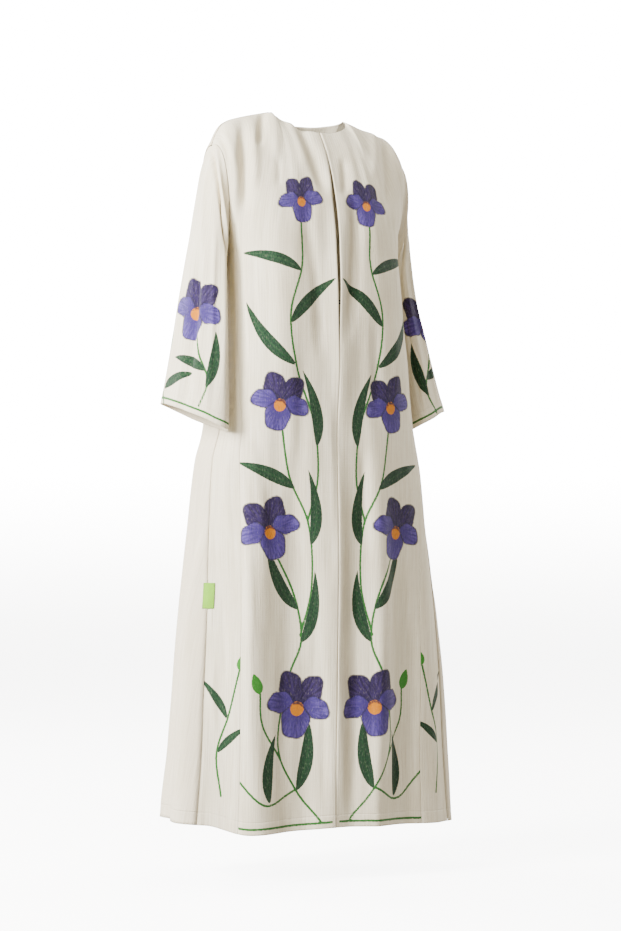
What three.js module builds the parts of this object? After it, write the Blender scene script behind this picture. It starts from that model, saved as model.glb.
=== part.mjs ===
// A long open-front abaya, worn shape, with dropped-shoulder bell sleeves.
// Millimetres, +Z up. It faces -Y and its own right is -X. The origin lies midway between the
// two points where the neckline crosses the shoulders.
import * as THREE from 'three';

// Cloth
const WALL = 2.0;
const SEAM_HALF_GAP = 0.2;

// Neckline, an oval that drops towards the front
const NECK_HALF_WIDTH = 86;
const NECK_FRONT = 69;
const NECK_BACK = 58;
const NECK_FRONT_DROP = 45;
const NECK_BACK_DROP = 9;

// Shoulder seam, from the neck point to the armhole
const SHOULDER_SLOPE = 0.26;
const SHOULDER_ROUNDING = 43;
const SHOULDER_ROUNDING_POWER = 10;
const SHOULDER_TILT = 0.035;

// The yoke ends at the level where the body is one closed tube
const YOKE_END = -300;
const HEM_LEVEL = -1470;

// Where the front and back panels leave the armhole, as degrees from its top
const FRONT_CORNER = 130;
const SIDE_CORNER = 172;
const BACK_CORNER = 230;

// Cross-sections of the body: half widths, depths at the centre lines, squareness of the corners,
// and the angles of the gore seam, side seam and a line behind the arm, from the centre front
const BODY_SECTIONS = [
  { z: -300, right: 191, left: 183, front: 150, back: 114, square: 3.2, gore: 66, side: 84, behind: 118 },
  { z: -400, right: 194, left: 190, front: 156, back: 122, square: 3.3, gore: 64, side: 82, behind: 118 },
  { z: -500, right: 199, left: 200, front: 156, back: 130, square: 3.3, gore: 61, side: 80, behind: 117 },
  { z: -600, right: 206, left: 212, front: 155, back: 137, square: 3.1, gore: 57, side: 77.5, behind: 116 },
  { z: -655, right: 211, left: 220, front: 154, back: 141, square: 3.0, gore: 54, side: 76, behind: 115 },
  { z: -725, right: 231, left: 238, front: 154, back: 146, square: 2.7, gore: 51, side: 74.5, behind: 114 },
  { z: -890, right: 250, left: 262, front: 153, back: 156, square: 2.5, gore: 46.8, side: 70, behind: 112 },
  { z: -1020, right: 267, left: 280, front: 152, back: 162, square: 2.35, gore: 44, side: 65.5, behind: 111 },
  { z: -1180, right: 283, left: 296, front: 150, back: 167, square: 2.3, gore: 42, side: 63, behind: 110 },
  { z: -1340, right: 299, left: 310, front: 148, back: 170, square: 2.2, gore: 40.2, side: 61, behind: 110 },
  { z: -1500, right: 315, left: 324, front: 146, back: 173, square: 2.2, gore: 39, side: 60, behind: 110 },
];

// Gap between the two front edges, which meet at the neck and again from the waist down
const FRONT_GAP = [
  { z: -1500, gap: 0.05 },
  { z: -540, gap: 0.05 },
  { z: -500, gap: 1.0 },
  { z: -450, gap: 3.5 },
  { z: -390, gap: 6.0 },
  { z: -330, gap: 7.5 },
  { z: -220, gap: 8.5 },
  { z: -160, gap: 6.0 },
  { z: -100, gap: 3.0 },
  { z: -40, gap: 0.2 },
];

// Hanging folds of the skirt. Angles are from the centre front, positive towards the garment's left,
// at the fold's top and at the hem. Depth is positive for a ridge and negative for a trough.
const FOLDS = [
  { top: -12, hem: -3, from: -760, depth: 6, width: 8 },
  { top: -31, hem: -14, from: -540, depth: -17, width: 10 },
  { top: -45, hem: -32, from: -460, depth: 13, width: 8 },
  { top: -64, hem: -50, from: -700, depth: -10, width: 9 },
  { top: -86, hem: -72, from: -690, depth: 9, width: 9 },
  { top: -104, hem: -96, from: -560, depth: -13, width: 10 },
  { top: -124, hem: -120, from: -480, depth: 12, width: 10 },
  { top: -144, hem: -143, from: -420, depth: -15, width: 10 },
  { top: -164, hem: -165, from: -500, depth: 12, width: 9 },
  { top: 176, hem: 174, from: -380, depth: -15, width: 9 },
  { top: 156, hem: 152, from: -520, depth: 13, width: 10 },
  { top: 137, hem: 131, from: -440, depth: -14, width: 10 },
  { top: 118, hem: 110, from: -600, depth: 11, width: 9 },
  { top: 100, hem: 89, from: -680, depth: -12, width: 10 },
  { top: 80, hem: 66, from: -720, depth: 10, width: 9 },
  { top: 52, hem: 47, from: -640, depth: 11, width: 8 },
  { top: 34, hem: 30, from: -700, depth: -12, width: 9 },
  { top: 21, hem: 17, from: -560, depth: 9, width: 7 },
  { top: 11, hem: 5, from: -420, depth: -9, width: 7 },
];

// How far the hem hangs above or below its level, by angle from the centre front
const HEM_OFFSETS = [
  { angle: -180, rise: 0 },
  { angle: -90, rise: 16 },
  { angle: -55, rise: 11 },
  { angle: -34, rise: -7 },
  { angle: -12, rise: -3 },
  { angle: 0, rise: 0 },
  { angle: 40, rise: -6 },
  { angle: 90, rise: -12 },
  { angle: 180, rise: 0 },
];

// Sleeve sections, from the armhole to the cuff. Outer and inner points are distances from the
// middle of the garment, midY and depth are fore and aft, lean swings the front end inwards and
// drop lowers it and lifts the back end.
const SLEEVE_RIGHT = [
  { outX: 216, outZ: -76, inX: 196, inZ: -284, midY: -5, depth: 66, lean: 0, drop: 0 },
  { outX: 229, outZ: -118, inX: 198, inZ: -294, midY: -8, depth: 66, lean: 0, drop: 0 },
  { outX: 240, outZ: -172, inX: 200, inZ: -308, midY: -12, depth: 66, lean: 2, drop: 0 },
  { outX: 252, outZ: -232, inX: 203, inZ: -330, midY: -17, depth: 66, lean: 4, drop: 0 },
  { outX: 264, outZ: -300, inX: 206, inZ: -366, midY: -22, depth: 68, lean: 7, drop: 1 },
  { outX: 276, outZ: -384, inX: 209, inZ: -422, midY: -27, depth: 70, lean: 11, drop: 4 },
  { outX: 287, outZ: -469, inX: 213, inZ: -500, midY: -32, depth: 74, lean: 15, drop: 9 },
  { outX: 300, outZ: -551, inX: 218, inZ: -588, midY: -36, depth: 77, lean: 19, drop: 15 },
  { outX: 312, outZ: -620, inX: 224, inZ: -660, midY: -40, depth: 80, lean: 22, drop: 21 },
];
const SLEEVE_LEFT = [
  { outX: 214, outZ: -82, inX: 187, inZ: -284, midY: 12, depth: 62, lean: 0, drop: 0 },
  { outX: 225, outZ: -120, inX: 189, inZ: -294, midY: 16, depth: 63, lean: 0, drop: 0 },
  { outX: 233, outZ: -172, inX: 191, inZ: -308, midY: 21, depth: 64, lean: 1, drop: 0 },
  { outX: 241, outZ: -232, inX: 194, inZ: -330, midY: 26, depth: 65, lean: 2, drop: 0 },
  { outX: 250, outZ: -301, inX: 197, inZ: -367, midY: 27, depth: 67, lean: 4, drop: -1 },
  { outX: 265, outZ: -382.5, inX: 202, inZ: -422.5, midY: 24, depth: 69, lean: 6, drop: -2.5 },
  { outX: 286, outZ: -464, inX: 210, inZ: -494, midY: 18, depth: 73, lean: 9, drop: -4 },
  { outX: 307, outZ: -551.5, inX: 220, inZ: -587.5, midY: 11, depth: 77, lean: 12, drop: -5.5 },
  { outX: 323, outZ: -615, inX: 230, inZ: -663, midY: 5, depth: 80, lean: 14, drop: -7 },
];
const ARMHOLE_SQUARENESS = 2.5;

// Soft folds down the sleeves: degrees from the outer line, through the front
const SLEEVE_FOLDS = [
  { at: 62, from: 0.3, depth: -4, width: 20 },
  { at: 112, from: 0.2, depth: 3, width: 18 },
  { at: 215, from: 0.35, depth: -4, width: 22 },
  { at: 300, from: 0.4, depth: 4, width: 20 },
];

// Side label, sewn over the right side seam
const LABEL_TOP = -975;
const LABEL_BOTTOM = -1027;
const LABEL_ON_GORE = 16;
const LABEL_ON_BACK = 9;
const LABEL_WALL = 0.8;
const LABEL_SEAT = 0.3;

// Hook and eye at the front gap
const HOOK_LEVEL = -405;
const WIRE_RADIUS = 0.7;
const WIRE_CLEARANCE = 0.45;
const WIRE_STEPS = 16;

// Grid steps
const NECK_STEPS = 5;
const SHOULDER_STEPS = 7;
const YOKE_ROWS = 9;
const UNDERARM_ROWS = 1;
const GORE_STEPS = 4;
const UNDERARM_STEPS = 5;
const SLEEVE_ROWS = 14;
const SKIRT_LEVELS = [
  YOKE_END, -352, HOOK_LEVEL, -475, -545, -605, -655, -720, -800, -885,
  LABEL_TOP, LABEL_BOTTOM, -1110, -1200, -1290, -1380, HEM_LEVEL,
];

const NECK_SHARE = 0.42;
const UNDERARM_START = 0.87;
const RAD = Math.PI / 180;
const clamp01 = (v) => Math.min(1, Math.max(0, v));
const smooth = (v) => {
  const t = clamp01(v);
  return t * t * (3 - 2 * t);
};
const mix = (a, b, t) => a + (b - a) * t;

// Smooth look-up in a table of rows, without overshoot between them
function lookUp(rows, key, column, at) {
  const dir = Math.sign(rows[rows.length - 1][key] - rows[0][key]);
  let i = 0;
  while (i < rows.length - 2 && dir * (at - rows[i + 1][key]) > 0) i += 1;
  const slope = (k) => {
    const a = rows[Math.max(0, Math.min(k, rows.length - 2))];
    const b = rows[Math.max(0, Math.min(k, rows.length - 2)) + 1];
    return (b[column] - a[column]) / (b[key] - a[key]);
  };
  const tangent = (k) => {
    if (k === 0) return slope(0);
    if (k === rows.length - 1) return slope(k - 1);
    const before = slope(k - 1);
    const after = slope(k);
    return before * after <= 0 ? 0 : (2 * before * after) / (before + after);
  };
  const a = rows[i];
  const b = rows[i + 1];
  const h = b[key] - a[key];
  const t = clamp01((at - a[key]) / h);
  const t2 = t * t;
  const t3 = t2 * t;
  return (2 * t3 - 3 * t2 + 1) * a[column] + (t3 - 2 * t2 + t) * h * tangent(i)
    + (-2 * t3 + 3 * t2) * b[column] + (t3 - t2) * h * tangent(i + 1);
}

const wrap = (angle) => ((angle + 540) % 360) - 180;

// How far the folds push the cloth out at an angle and level
function foldAt(angle, z) {
  let push = 0;
  for (const fold of FOLDS) {
    const down = clamp01((fold.from - z) / (fold.from - HEM_LEVEL));
    if (down > 0) {
      const away = wrap(angle - mix(fold.top, fold.hem, down)) / fold.width;
      push += fold.depth * smooth(down * 1.6) * Math.exp(-away * away);
    }
  }
  return push;
}

// A point of the closed body tube. side is -1 for the garment's right and 1 for its left,
// angle runs from 0 at the centre front to 180 at the centre back.
function tubePoint(side, angle, z) {
  const half = lookUp(BODY_SECTIONS, 'z', side < 0 ? 'right' : 'left', z);
  const depth = lookUp(BODY_SECTIONS, 'z', angle < 90 ? 'front' : 'back', z);
  const square = lookUp(BODY_SECTIONS, 'z', 'square', z);
  const s = Math.sin(angle * RAD);
  const c = Math.cos(angle * RAD);
  const k = (Math.abs(s) ** square + Math.abs(c) ** square) ** (-1 / square);
  const out = new THREE.Vector2(s / half, -c / depth).normalize();
  const push = foldAt(side * angle, z);
  return new THREE.Vector3(side * (half * k * s + out.x * push), -depth * k * c + out.y * push, z);
}

const sectionAngle = (column, z) => lookUp(BODY_SECTIONS, 'z', column, z);
const sleeveTable = (side) => (side < 0 ? SLEEVE_RIGHT : SLEEVE_LEFT);

// The armhole loop: degrees from its top, through the front
function armholePoint(side, degrees) {
  return sleeveSection(side, sleeveTable(side)[0], degrees, ARMHOLE_SQUARENESS);
}

function sleeveSection(side, row, degrees, square) {
  const c = Math.cos(degrees * RAD);
  const s = Math.sin(degrees * RAD);
  const k = (Math.abs(c) ** square + Math.abs(s) ** square) ** (-1 / square);
  const across = k * c;
  const along = k * s;
  const x = mix(row.inX, row.outX, (1 + across) / 2) - row.lean * along;
  const z = mix(row.inZ, row.outZ, (1 + across) / 2) - row.drop * along;
  return new THREE.Vector3(side * x, row.midY - row.depth * along, z);
}

function neckPoint(side, degrees, front) {
  const c = Math.cos(degrees * RAD);
  const reach = front ? -NECK_FRONT : NECK_BACK;
  const drop = front ? NECK_FRONT_DROP : NECK_BACK_DROP;
  const x = side * NECK_HALF_WIDTH * Math.sin(degrees * RAD);
  return new THREE.Vector3(x, reach * c, -drop * c ** 1.2 - SHOULDER_TILT * x);
}

function shoulderPoint(side, share) {
  const tip = armholePoint(side, 0);
  const reach = Math.abs(tip.x) - NECK_HALF_WIDTH;
  const along = Math.sin(share * 90 * RAD);
  const x = NECK_HALF_WIDTH + reach * along;
  const level = -SHOULDER_SLOPE * reach * along - SHOULDER_ROUNDING * along ** SHOULDER_ROUNDING_POWER;
  const end = -SHOULDER_SLOPE * reach - SHOULDER_ROUNDING;
  const tilt = -SHOULDER_TILT * side * x * (1 - along ** 2);
  return new THREE.Vector3(side * x, tip.y * along, level + (tip.z - end) * along ** 4 + tilt);
}

// Top edge of the front or back: round the neck, then along the shoulder seam
function topPoint(side, s, front) {
  if (s < NECK_SHARE) return neckPoint(side, (90 * s) / NECK_SHARE, front);
  return shoulderPoint(side, (s - NECK_SHARE) / (1 - NECK_SHARE));
}

// Angle of a front or back column at a level
function columnAngle(s, z, front) {
  return front ? s * sectionAngle('gore', z) : 180 - s * (180 - sectionAngle('behind', z));
}

// A column of the yoke falls from the top edge to the body tube in a quarter round
function yokePoint(side, s, fall, front) {
  const top = topPoint(side, s, front);
  const foot = tubePoint(side, columnAngle(s, YOKE_END, front), YOKE_END);
  const lead = front ? 36 : 26;
  const start = lead * (1 - clamp01(s / NECK_SHARE)) ** 0.8;
  const power = front ? 1.25 : 1.1;
  const turn = mix(start, 90, fall) * RAD;
  const sine0 = Math.sin(start * RAD) ** power;
  const out = (Math.sin(turn) ** power - sine0) / (1 - sine0);
  const down = (Math.cos(start * RAD) - Math.cos(turn)) / Math.cos(start * RAD);
  return new THREE.Vector3(
    mix(top.x, foot.x, mix(out, down, 0.5)),
    mix(top.y, foot.y, out),
    mix(top.z, foot.z, down),
  );
}

// Outer edge of the yoke: the armhole down to the panel's corner, then straight to the body tube
function yokeEdge(side, t, front) {
  const corner = front ? FRONT_CORNER : BACK_CORNER;
  const start = front ? 0 : 360;
  if (t <= 1) return armholePoint(side, mix(start, corner, t));
  const foot = tubePoint(side, columnAngle(1, YOKE_END, front), YOKE_END);
  return armholePoint(side, corner).lerp(foot, t - 1);
}

// t runs 0 to 1 down the yoke, to 2 at the body tube and to 3 at the hem
function panelPoint(side, s, t, front) {
  if (t >= 2) return skirtPoint(side, (z) => columnAngle(s, z, front), t - 2);
  if (s >= 1) return yokeEdge(side, t, front);
  const fall = (share) => (share <= 1 ? share * UNDERARM_START : mix(UNDERARM_START, 1, share - 1));
  const point = yokePoint(side, s, fall(t), front);
  const pull = yokeEdge(side, t, front).sub(yokePoint(side, 1, fall(t), front));
  return point.addScaledVector(pull, smooth((s - 0.5) / 0.5));
}

// Below the armhole's lowest part, from the loop to the body tube
function underarmPoint(side, s, t, gore) {
  const from = gore ? FRONT_CORNER : BACK_CORNER;
  const edge = gore ? 'gore' : 'behind';
  const angle = (z) => mix(sectionAngle(edge, z), sectionAngle('side', z), s);
  if (t >= 2) return skirtPoint(side, angle, t - 2);
  const foot = tubePoint(side, angle(YOKE_END), YOKE_END);
  return armholePoint(side, mix(from, SIDE_CORNER, s)).lerp(foot, t - 1);
}

function skirtPoint(side, angleAt, share) {
  const place = share * (SKIRT_LEVELS.length - 1);
  const k = Math.min(SKIRT_LEVELS.length - 2, Math.floor(place));
  const level = mix(SKIRT_LEVELS[k], SKIRT_LEVELS[k + 1], place - k);
  const angle = angleAt(level);
  const low = smooth((LABEL_BOTTOM - level) / (LABEL_BOTTOM - HEM_LEVEL));
  const z = level + lookUp(HEM_OFFSETS, 'angle', 'rise', side * angle) * low;
  return tubePoint(side, angle, z);
}

// The front edges stand apart by the gap, and the shift fades out across the panel
function openFront(point, side, s) {
  const gap = lookUp(FRONT_GAP, 'z', 'gap', point.z) / 2;
  point.x += side * gap * (1 - smooth(s / 0.3));
  return point;
}

function sleevePoint(side, degrees, t) {
  const rows = sleeveTable(side);
  const at = t * (rows.length - 1);
  const indexed = rows.map((row, index) => ({ ...row, index }));
  const row = {};
  for (const column of Object.keys(rows[0])) row[column] = lookUp(indexed, 'index', column, at);
  const square = mix(ARMHOLE_SQUARENESS, 2.1, smooth(t * 2));
  let push = 0;
  for (const fold of SLEEVE_FOLDS) {
    const away = wrap(degrees - fold.at) / fold.width;
    push += fold.depth * smooth((t - fold.from) / 0.4) * Math.exp(-away * away);
  }
  const point = sleeveSection(side, row, degrees, square);
  const across = Math.abs(row.outX - row.inX) / 2;
  const out = new THREE.Vector2(Math.cos(degrees * RAD) / across, -Math.sin(degrees * RAD) / row.depth);
  out.normalize();
  point.x += side * out.x * push;
  point.y += out.y * push;
  return point;
}

// A grid holds rows of points. An absent point is null, and the cells beside it are left out.
function makeGrid(rows, columns, pointAt) {
  const grid = [];
  for (let i = 0; i < rows.length; i += 1) grid.push(columns.map((column) => pointAt(rows[i], column)));
  return grid;
}

const steps = (from, to, count) => Array.from({ length: count + 1 }, (_, i) => mix(from, to, i / count));
const topShares = [
  ...steps(0, NECK_SHARE, NECK_STEPS).slice(0, -1),
  ...steps(NECK_SHARE, 1, SHOULDER_STEPS),
];
const bodyRows = [
  ...steps(0, 1, YOKE_ROWS),
  ...steps(1, 2, UNDERARM_ROWS).slice(1),
  ...steps(2, 3, SKIRT_LEVELS.length - 1).slice(1),
];

function frontGrid(side) {
  return makeGrid(bodyRows, topShares, (t, s) => openFront(panelPoint(side, s, t, true), side, s));
}

function goreGrid(side) {
  const columns = steps(0, 1, GORE_STEPS);
  return makeGrid(bodyRows, columns, (t, s) => (t < 1 ? null : underarmPoint(side, s, t, true)));
}

// The back runs from one side seam, under that arm, across, and under the other arm
function backGrid() {
  const half = (side) => {
    const under = steps(0, 1, UNDERARM_STEPS).slice(1).reverse();
    const outer = under.map((s) => ({ s, under: true, side }));
    const inner = [...topShares].reverse().map((s) => ({ s, under: false, side }));
    return [...outer, ...inner];
  };
  const columns = [...half(-1), ...half(1).reverse().slice(1)];
  return makeGrid(bodyRows, columns, (t, c) => {
    if (!c.under) return panelPoint(c.side, c.s, t, false);
    return t < 1 ? null : underarmPoint(c.side, c.s, t, false);
  });
}

const armholeDegrees = [
  ...steps(0, FRONT_CORNER, YOKE_ROWS),
  ...steps(FRONT_CORNER, SIDE_CORNER, GORE_STEPS).slice(1),
  ...steps(SIDE_CORNER, BACK_CORNER, UNDERARM_STEPS).slice(1),
  ...steps(BACK_CORNER, 360, YOKE_ROWS).slice(1, -1),
];

function sleeveGrid(side) {
  const rows = steps(0, 1, SLEEVE_ROWS);
  return rows.map((t) => armholeDegrees.map((degrees) => sleevePoint(side, degrees, t)));
}

// Faces of a grid, as index quads that go round in one direction
function cells(grid, closed) {
  const list = [];
  const width = grid[0].length;
  for (let i = 0; i < grid.length - 1; i += 1) {
    for (let j = 0; j < (closed ? width : width - 1); j += 1) {
      const k = (j + 1) % width;
      const corners = [[i, j], [i + 1, j], [i + 1, k], [i, k]];
      if (corners.every(([r, c]) => grid[r][c])) list.push(corners);
    }
  }
  return list;
}

const keyOf = (p) => [p.x, p.y, p.z].map((v) => Math.round(v * 50)).join(' ');

// Outward directions at every point, shared by the pieces that meet there
function addNormals(grid, closed, flip, store) {
  for (const corners of cells(grid, closed)) {
    const [a, b, c, d] = corners.map(([r, q]) => grid[r][q]);
    const normal = c.clone().sub(a).cross(d.clone().sub(b)).multiplyScalar(flip ? -1 : 1);
    for (const p of [a, b, c, d]) {
      const key = keyOf(p);
      if (!store.has(key)) store.set(key, new THREE.Vector3());
      store.get(key).add(normal);
    }
  }
}

// Turns a grid of outer points and inward directions into one closed wall
function wallGeometry(outer, inner, closed, flip) {
  const ids = new Map();
  const positions = [];
  const triangles = [];
  const idOf = (layer, [r, c]) => {
    const key = `${layer} ${r} ${c}`;
    if (!ids.has(key)) {
      const p = (layer ? inner : outer)[r][c];
      ids.set(key, positions.length / 3);
      positions.push(p.x, p.y, p.z);
    }
    return ids.get(key);
  };
  const addQuad = (a, b, c, d) => {
    const quad = flip ? [d, c, b, a] : [a, b, c, d];
    triangles.push(quad[0], quad[1], quad[2], quad[0], quad[2], quad[3]);
  };
  const used = new Map();
  const list = cells(outer, closed);
  for (const corners of list) {
    for (let k = 0; k < 4; k += 1) used.set(`${corners[k]}|${corners[(k + 1) % 4]}`, true);
  }
  for (const corners of list) {
    addQuad(...corners.map((corner) => idOf(0, corner)));
    addQuad(...[...corners].reverse().map((corner) => idOf(1, corner)));
    for (let k = 0; k < 4; k += 1) {
      const a = corners[k];
      const b = corners[(k + 1) % 4];
      if (!used.has(`${b}|${a}`)) addQuad(idOf(0, b), idOf(0, a), idOf(1, a), idOf(1, b));
    }
  }
  const geometry = new THREE.BufferGeometry();
  geometry.setAttribute('position', new THREE.Float32BufferAttribute(positions, 3));
  geometry.setIndex(triangles);
  geometry.computeVertexNormals();
  return geometry;
}

// Moves the points of a grid's edge into the piece, which leaves the seam gap
function trimEdges(grid, closed, amountAt) {
  const width = grid[0].length;
  return grid.map((row, i) => row.map((p, j) => {
    if (!p) return null;
    const at = (r, c) => (grid[r] && (closed ? grid[r][(c + width) % width] : grid[r][c])) || null;
    const pairs = [[at(i - 1, j), at(i + 1, j)], [at(i, j - 1), at(i, j + 1)]];
    const moved = p.clone();
    for (const [a, b] of pairs) {
      const only = a && !b ? a : b && !a ? b : null;
      if (only) moved.add(only.clone().sub(p).setLength(amountAt(p)));
    }
    return moved;
  }));
}

const bodyGrids = {
  front_right: { grid: frontGrid(-1), flip: true },
  front_left: { grid: frontGrid(1), flip: false },
  side_gore_right: { grid: goreGrid(-1), flip: true },
  side_gore_left: { grid: goreGrid(1), flip: false },
  back: { grid: backGrid(), flip: true },
};
const bodyNormals = new Map();
for (const { grid, flip } of Object.values(bodyGrids)) addNormals(grid, false, flip, bodyNormals);
for (const normal of bodyNormals.values()) normal.normalize();

// At the armhole the sleeve's wall turns along the body's edge face, so that the two never cross,
// and where both hang side by side under the arm their edges stand further back.
function armholeJoin(side, grid, normals) {
  const loop = grid[0];
  const centre = loop.reduce((sum, p) => sum.add(p), new THREE.Vector3()).divideScalar(loop.length);
  return loop.map((p, k) => {
    const before = loop[(k + loop.length - 1) % loop.length];
    const after = loop[(k + 1) % loop.length];
    const ownNormal = normals.get(keyOf(p));
    const bodyNormal = bodyNormals.get(keyOf(p));
    const intoBody = after.clone().sub(before).cross(bodyNormal).normalize();
    const expected = p.clone().sub(centre).normalize().add(new THREE.Vector3(-side, 0, 0));
    if (intoBody.dot(expected) < 0) intoBody.negate();
    const wall = ownNormal.clone().negate();
    wall.addScaledVector(intoBody, -Math.max(0, wall.dot(intoBody)));
    wall.multiplyScalar(WALL / Math.max(0.35, -wall.dot(ownNormal) * wall.length()));
    wall.clampLength(WALL, 1.6 * WALL);
    const downSleeve = grid[1][k].clone().sub(p).normalize();
    const halfAngle = intoBody.angleTo(downSleeve) / 2;
    return { wall, trim: SEAM_HALF_GAP / Math.max(0.25, Math.sin(halfAngle)) };
  });
}

const armholeTrims = new Map();
const sleeveParts = {};
for (const [name, side] of [['sleeve_right', -1], ['sleeve_left', 1]]) {
  const grid = sleeveGrid(side);
  const flip = side > 0;
  const normals = new Map();
  addNormals(grid, true, flip, normals);
  for (const normal of normals.values()) normal.normalize();
  const join = armholeJoin(side, grid, normals);
  grid[0].forEach((p, k) => armholeTrims.set(keyOf(p), join[k].trim));
  sleeveParts[name] = { grid, flip, normals, join };
}
const trimAt = (p) => armholeTrims.get(keyOf(p)) || SEAM_HALF_GAP;

const inward = (grid, trimmed, normals) => grid.map((row, i) => row.map((p, j) => (
  p ? trimmed[i][j].clone().addScaledVector(normals.get(keyOf(p)), -WALL) : null
)));

const abaya = new THREE.Group();
abaya.name = 'abaya';

function addPiece(name, geometry, color, roughness, metalness) {
  const material = new THREE.MeshStandardMaterial({ color, roughness, metalness });
  const mesh = new THREE.Mesh(geometry, material);
  mesh.name = name;
  abaya.add(mesh);
}

const LINEN = 0xebe6dc;
for (const [name, { grid, flip }] of Object.entries(bodyGrids)) {
  const outer = trimEdges(grid, false, trimAt);
  addPiece(name, wallGeometry(outer, inward(grid, outer, bodyNormals), false, flip), LINEN, 0.9, 0);
}
for (const [name, { grid, flip, normals, join }] of Object.entries(sleeveParts)) {
  const outer = trimEdges(grid, true, trimAt);
  const inner = inward(grid, outer, normals);
  inner[0] = outer[0].map((p, k) => p.clone().add(join[k].wall));
  addPiece(name, wallGeometry(outer, inner, true, flip), LINEN, 0.9, 0);
}

// The label lies on the panels' own facets, half on the gore and half on the back
const firstSkirtRow = YOKE_ROWS + UNDERARM_ROWS;
const labelRows = [LABEL_TOP, LABEL_BOTTOM].map((level) => {
  const row = firstSkirtRow + SKIRT_LEVELS.indexOf(level);
  const seam = bodyGrids.side_gore_right.grid[row][GORE_STEPS];
  const seamNormal = bodyNormals.get(keyOf(seam));
  const across = [
    [bodyGrids.side_gore_right.grid[row][GORE_STEPS - 1], LABEL_ON_GORE],
    [bodyGrids.back.grid[row][1], LABEL_ON_BACK],
  ];
  const edges = across.map(([p, reach]) => {
    const share = reach / p.distanceTo(seam);
    const normal = seamNormal.clone().lerp(bodyNormals.get(keyOf(p)), share).normalize();
    return { base: seam.clone().lerp(p, share), normal };
  });
  return [edges[0], { base: seam, normal: seamNormal }, edges[1]];
});
const labelLayer = (offset) => labelRows.map((row) => row.map(({ base, normal }) => (
  base.clone().addScaledVector(normal, offset)
)));
addPiece('side_label', wallGeometry(
  labelLayer(LABEL_SEAT + LABEL_WALL),
  labelLayer(LABEL_SEAT),
  false,
  true,
), 0xb9e473, 0.8, 0);

// A bent round wire through a few points
function wireGeometry(points) {
  const bends = points.map(([x, y, z]) => new THREE.Vector3(x, y, z));
  const path = new THREE.CatmullRomCurve3(bends, false, 'centripetal');
  const section = new THREE.Shape().absarc(0, 0, WIRE_RADIUS, 0, Math.PI * 2);
  return new THREE.ExtrudeGeometry(section, { steps: WIRE_STEPS, extrudePath: path, curveSegments: 4 });
}

// The hook is sewn behind the right front's edge and catches the eye behind the left one
const hookRow = firstSkirtRow + SKIRT_LEVELS.indexOf(HOOK_LEVEL);
const frontFace = bodyGrids.front_right.grid[hookRow][0].y;
const seatY = frontFace + WALL + 0.4 + WIRE_RADIUS;
const turn = 2 * WIRE_RADIUS + WIRE_CLEARANCE;
const HOOK_REACH = 11;
const EYE_HALF_HEIGHT = 2.6;
addPiece('chest_hook', wireGeometry([
  [-HOOK_REACH, seatY, HOOK_LEVEL + 1.6],
  [-HOOK_REACH + 2, seatY, HOOK_LEVEL + 0.6],
  [-4, seatY + 0.6, HOOK_LEVEL],
  [-1, seatY + turn, HOOK_LEVEL],
  [turn * 0.75, seatY + turn * 0.72, HOOK_LEVEL],
  [turn, seatY, HOOK_LEVEL],
  [turn * 0.7, seatY - turn * 0.75, HOOK_LEVEL],
  [-0.6, seatY - turn, HOOK_LEVEL],
]), 0x3b3530, 0.4, 0.9);
addPiece('chest_eye', wireGeometry([
  [HOOK_REACH, seatY, HOOK_LEVEL + EYE_HALF_HEIGHT],
  [4, seatY, HOOK_LEVEL + EYE_HALF_HEIGHT],
  [0.8, seatY, HOOK_LEVEL + EYE_HALF_HEIGHT - 0.5],
  [0, seatY, HOOK_LEVEL + 1],
  [0, seatY, HOOK_LEVEL - 1],
  [0.8, seatY, HOOK_LEVEL - EYE_HALF_HEIGHT + 0.5],
  [4, seatY, HOOK_LEVEL - EYE_HALF_HEIGHT],
  [HOOK_REACH, seatY, HOOK_LEVEL - EYE_HALF_HEIGHT],
]), 0x3b3530, 0.4, 0.9);

export default abaya;
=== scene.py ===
import math
import bpy
import numpy as np
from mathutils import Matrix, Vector


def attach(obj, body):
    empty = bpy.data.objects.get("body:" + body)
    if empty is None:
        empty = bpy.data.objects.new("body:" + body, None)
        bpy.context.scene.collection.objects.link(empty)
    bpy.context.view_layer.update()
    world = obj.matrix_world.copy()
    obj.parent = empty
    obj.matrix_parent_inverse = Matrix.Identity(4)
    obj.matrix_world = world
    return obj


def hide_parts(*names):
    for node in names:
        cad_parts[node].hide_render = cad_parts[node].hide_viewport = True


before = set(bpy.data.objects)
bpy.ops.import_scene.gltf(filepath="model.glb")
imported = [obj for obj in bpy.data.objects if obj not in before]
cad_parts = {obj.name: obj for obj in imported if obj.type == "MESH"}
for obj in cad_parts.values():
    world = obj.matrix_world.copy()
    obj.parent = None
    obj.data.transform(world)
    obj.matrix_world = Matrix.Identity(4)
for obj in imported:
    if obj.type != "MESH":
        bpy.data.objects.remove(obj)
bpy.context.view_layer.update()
MM = 0.001

# Camera
# A level studio view from the garment's own front right, a little below the waist, tipped up
# slightly so that the whole garment from neck to hem stands in the frame.
VIEW_TURN = math.radians(25.0)
VIEW_DISTANCE = 4.5
VIEW_HEIGHT = -0.888
AIM_RIGHT = 0.0094
AIM_HEIGHT = -0.733
LENS_MM = 83.2
SENSOR_MM = 36.0
PICTURE_WIDTH = 621
PICTURE_HEIGHT = 931


def add_object(name, data):
    made = bpy.data.objects.new(name, data)
    bpy.context.scene.collection.objects.link(made)
    return made


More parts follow.
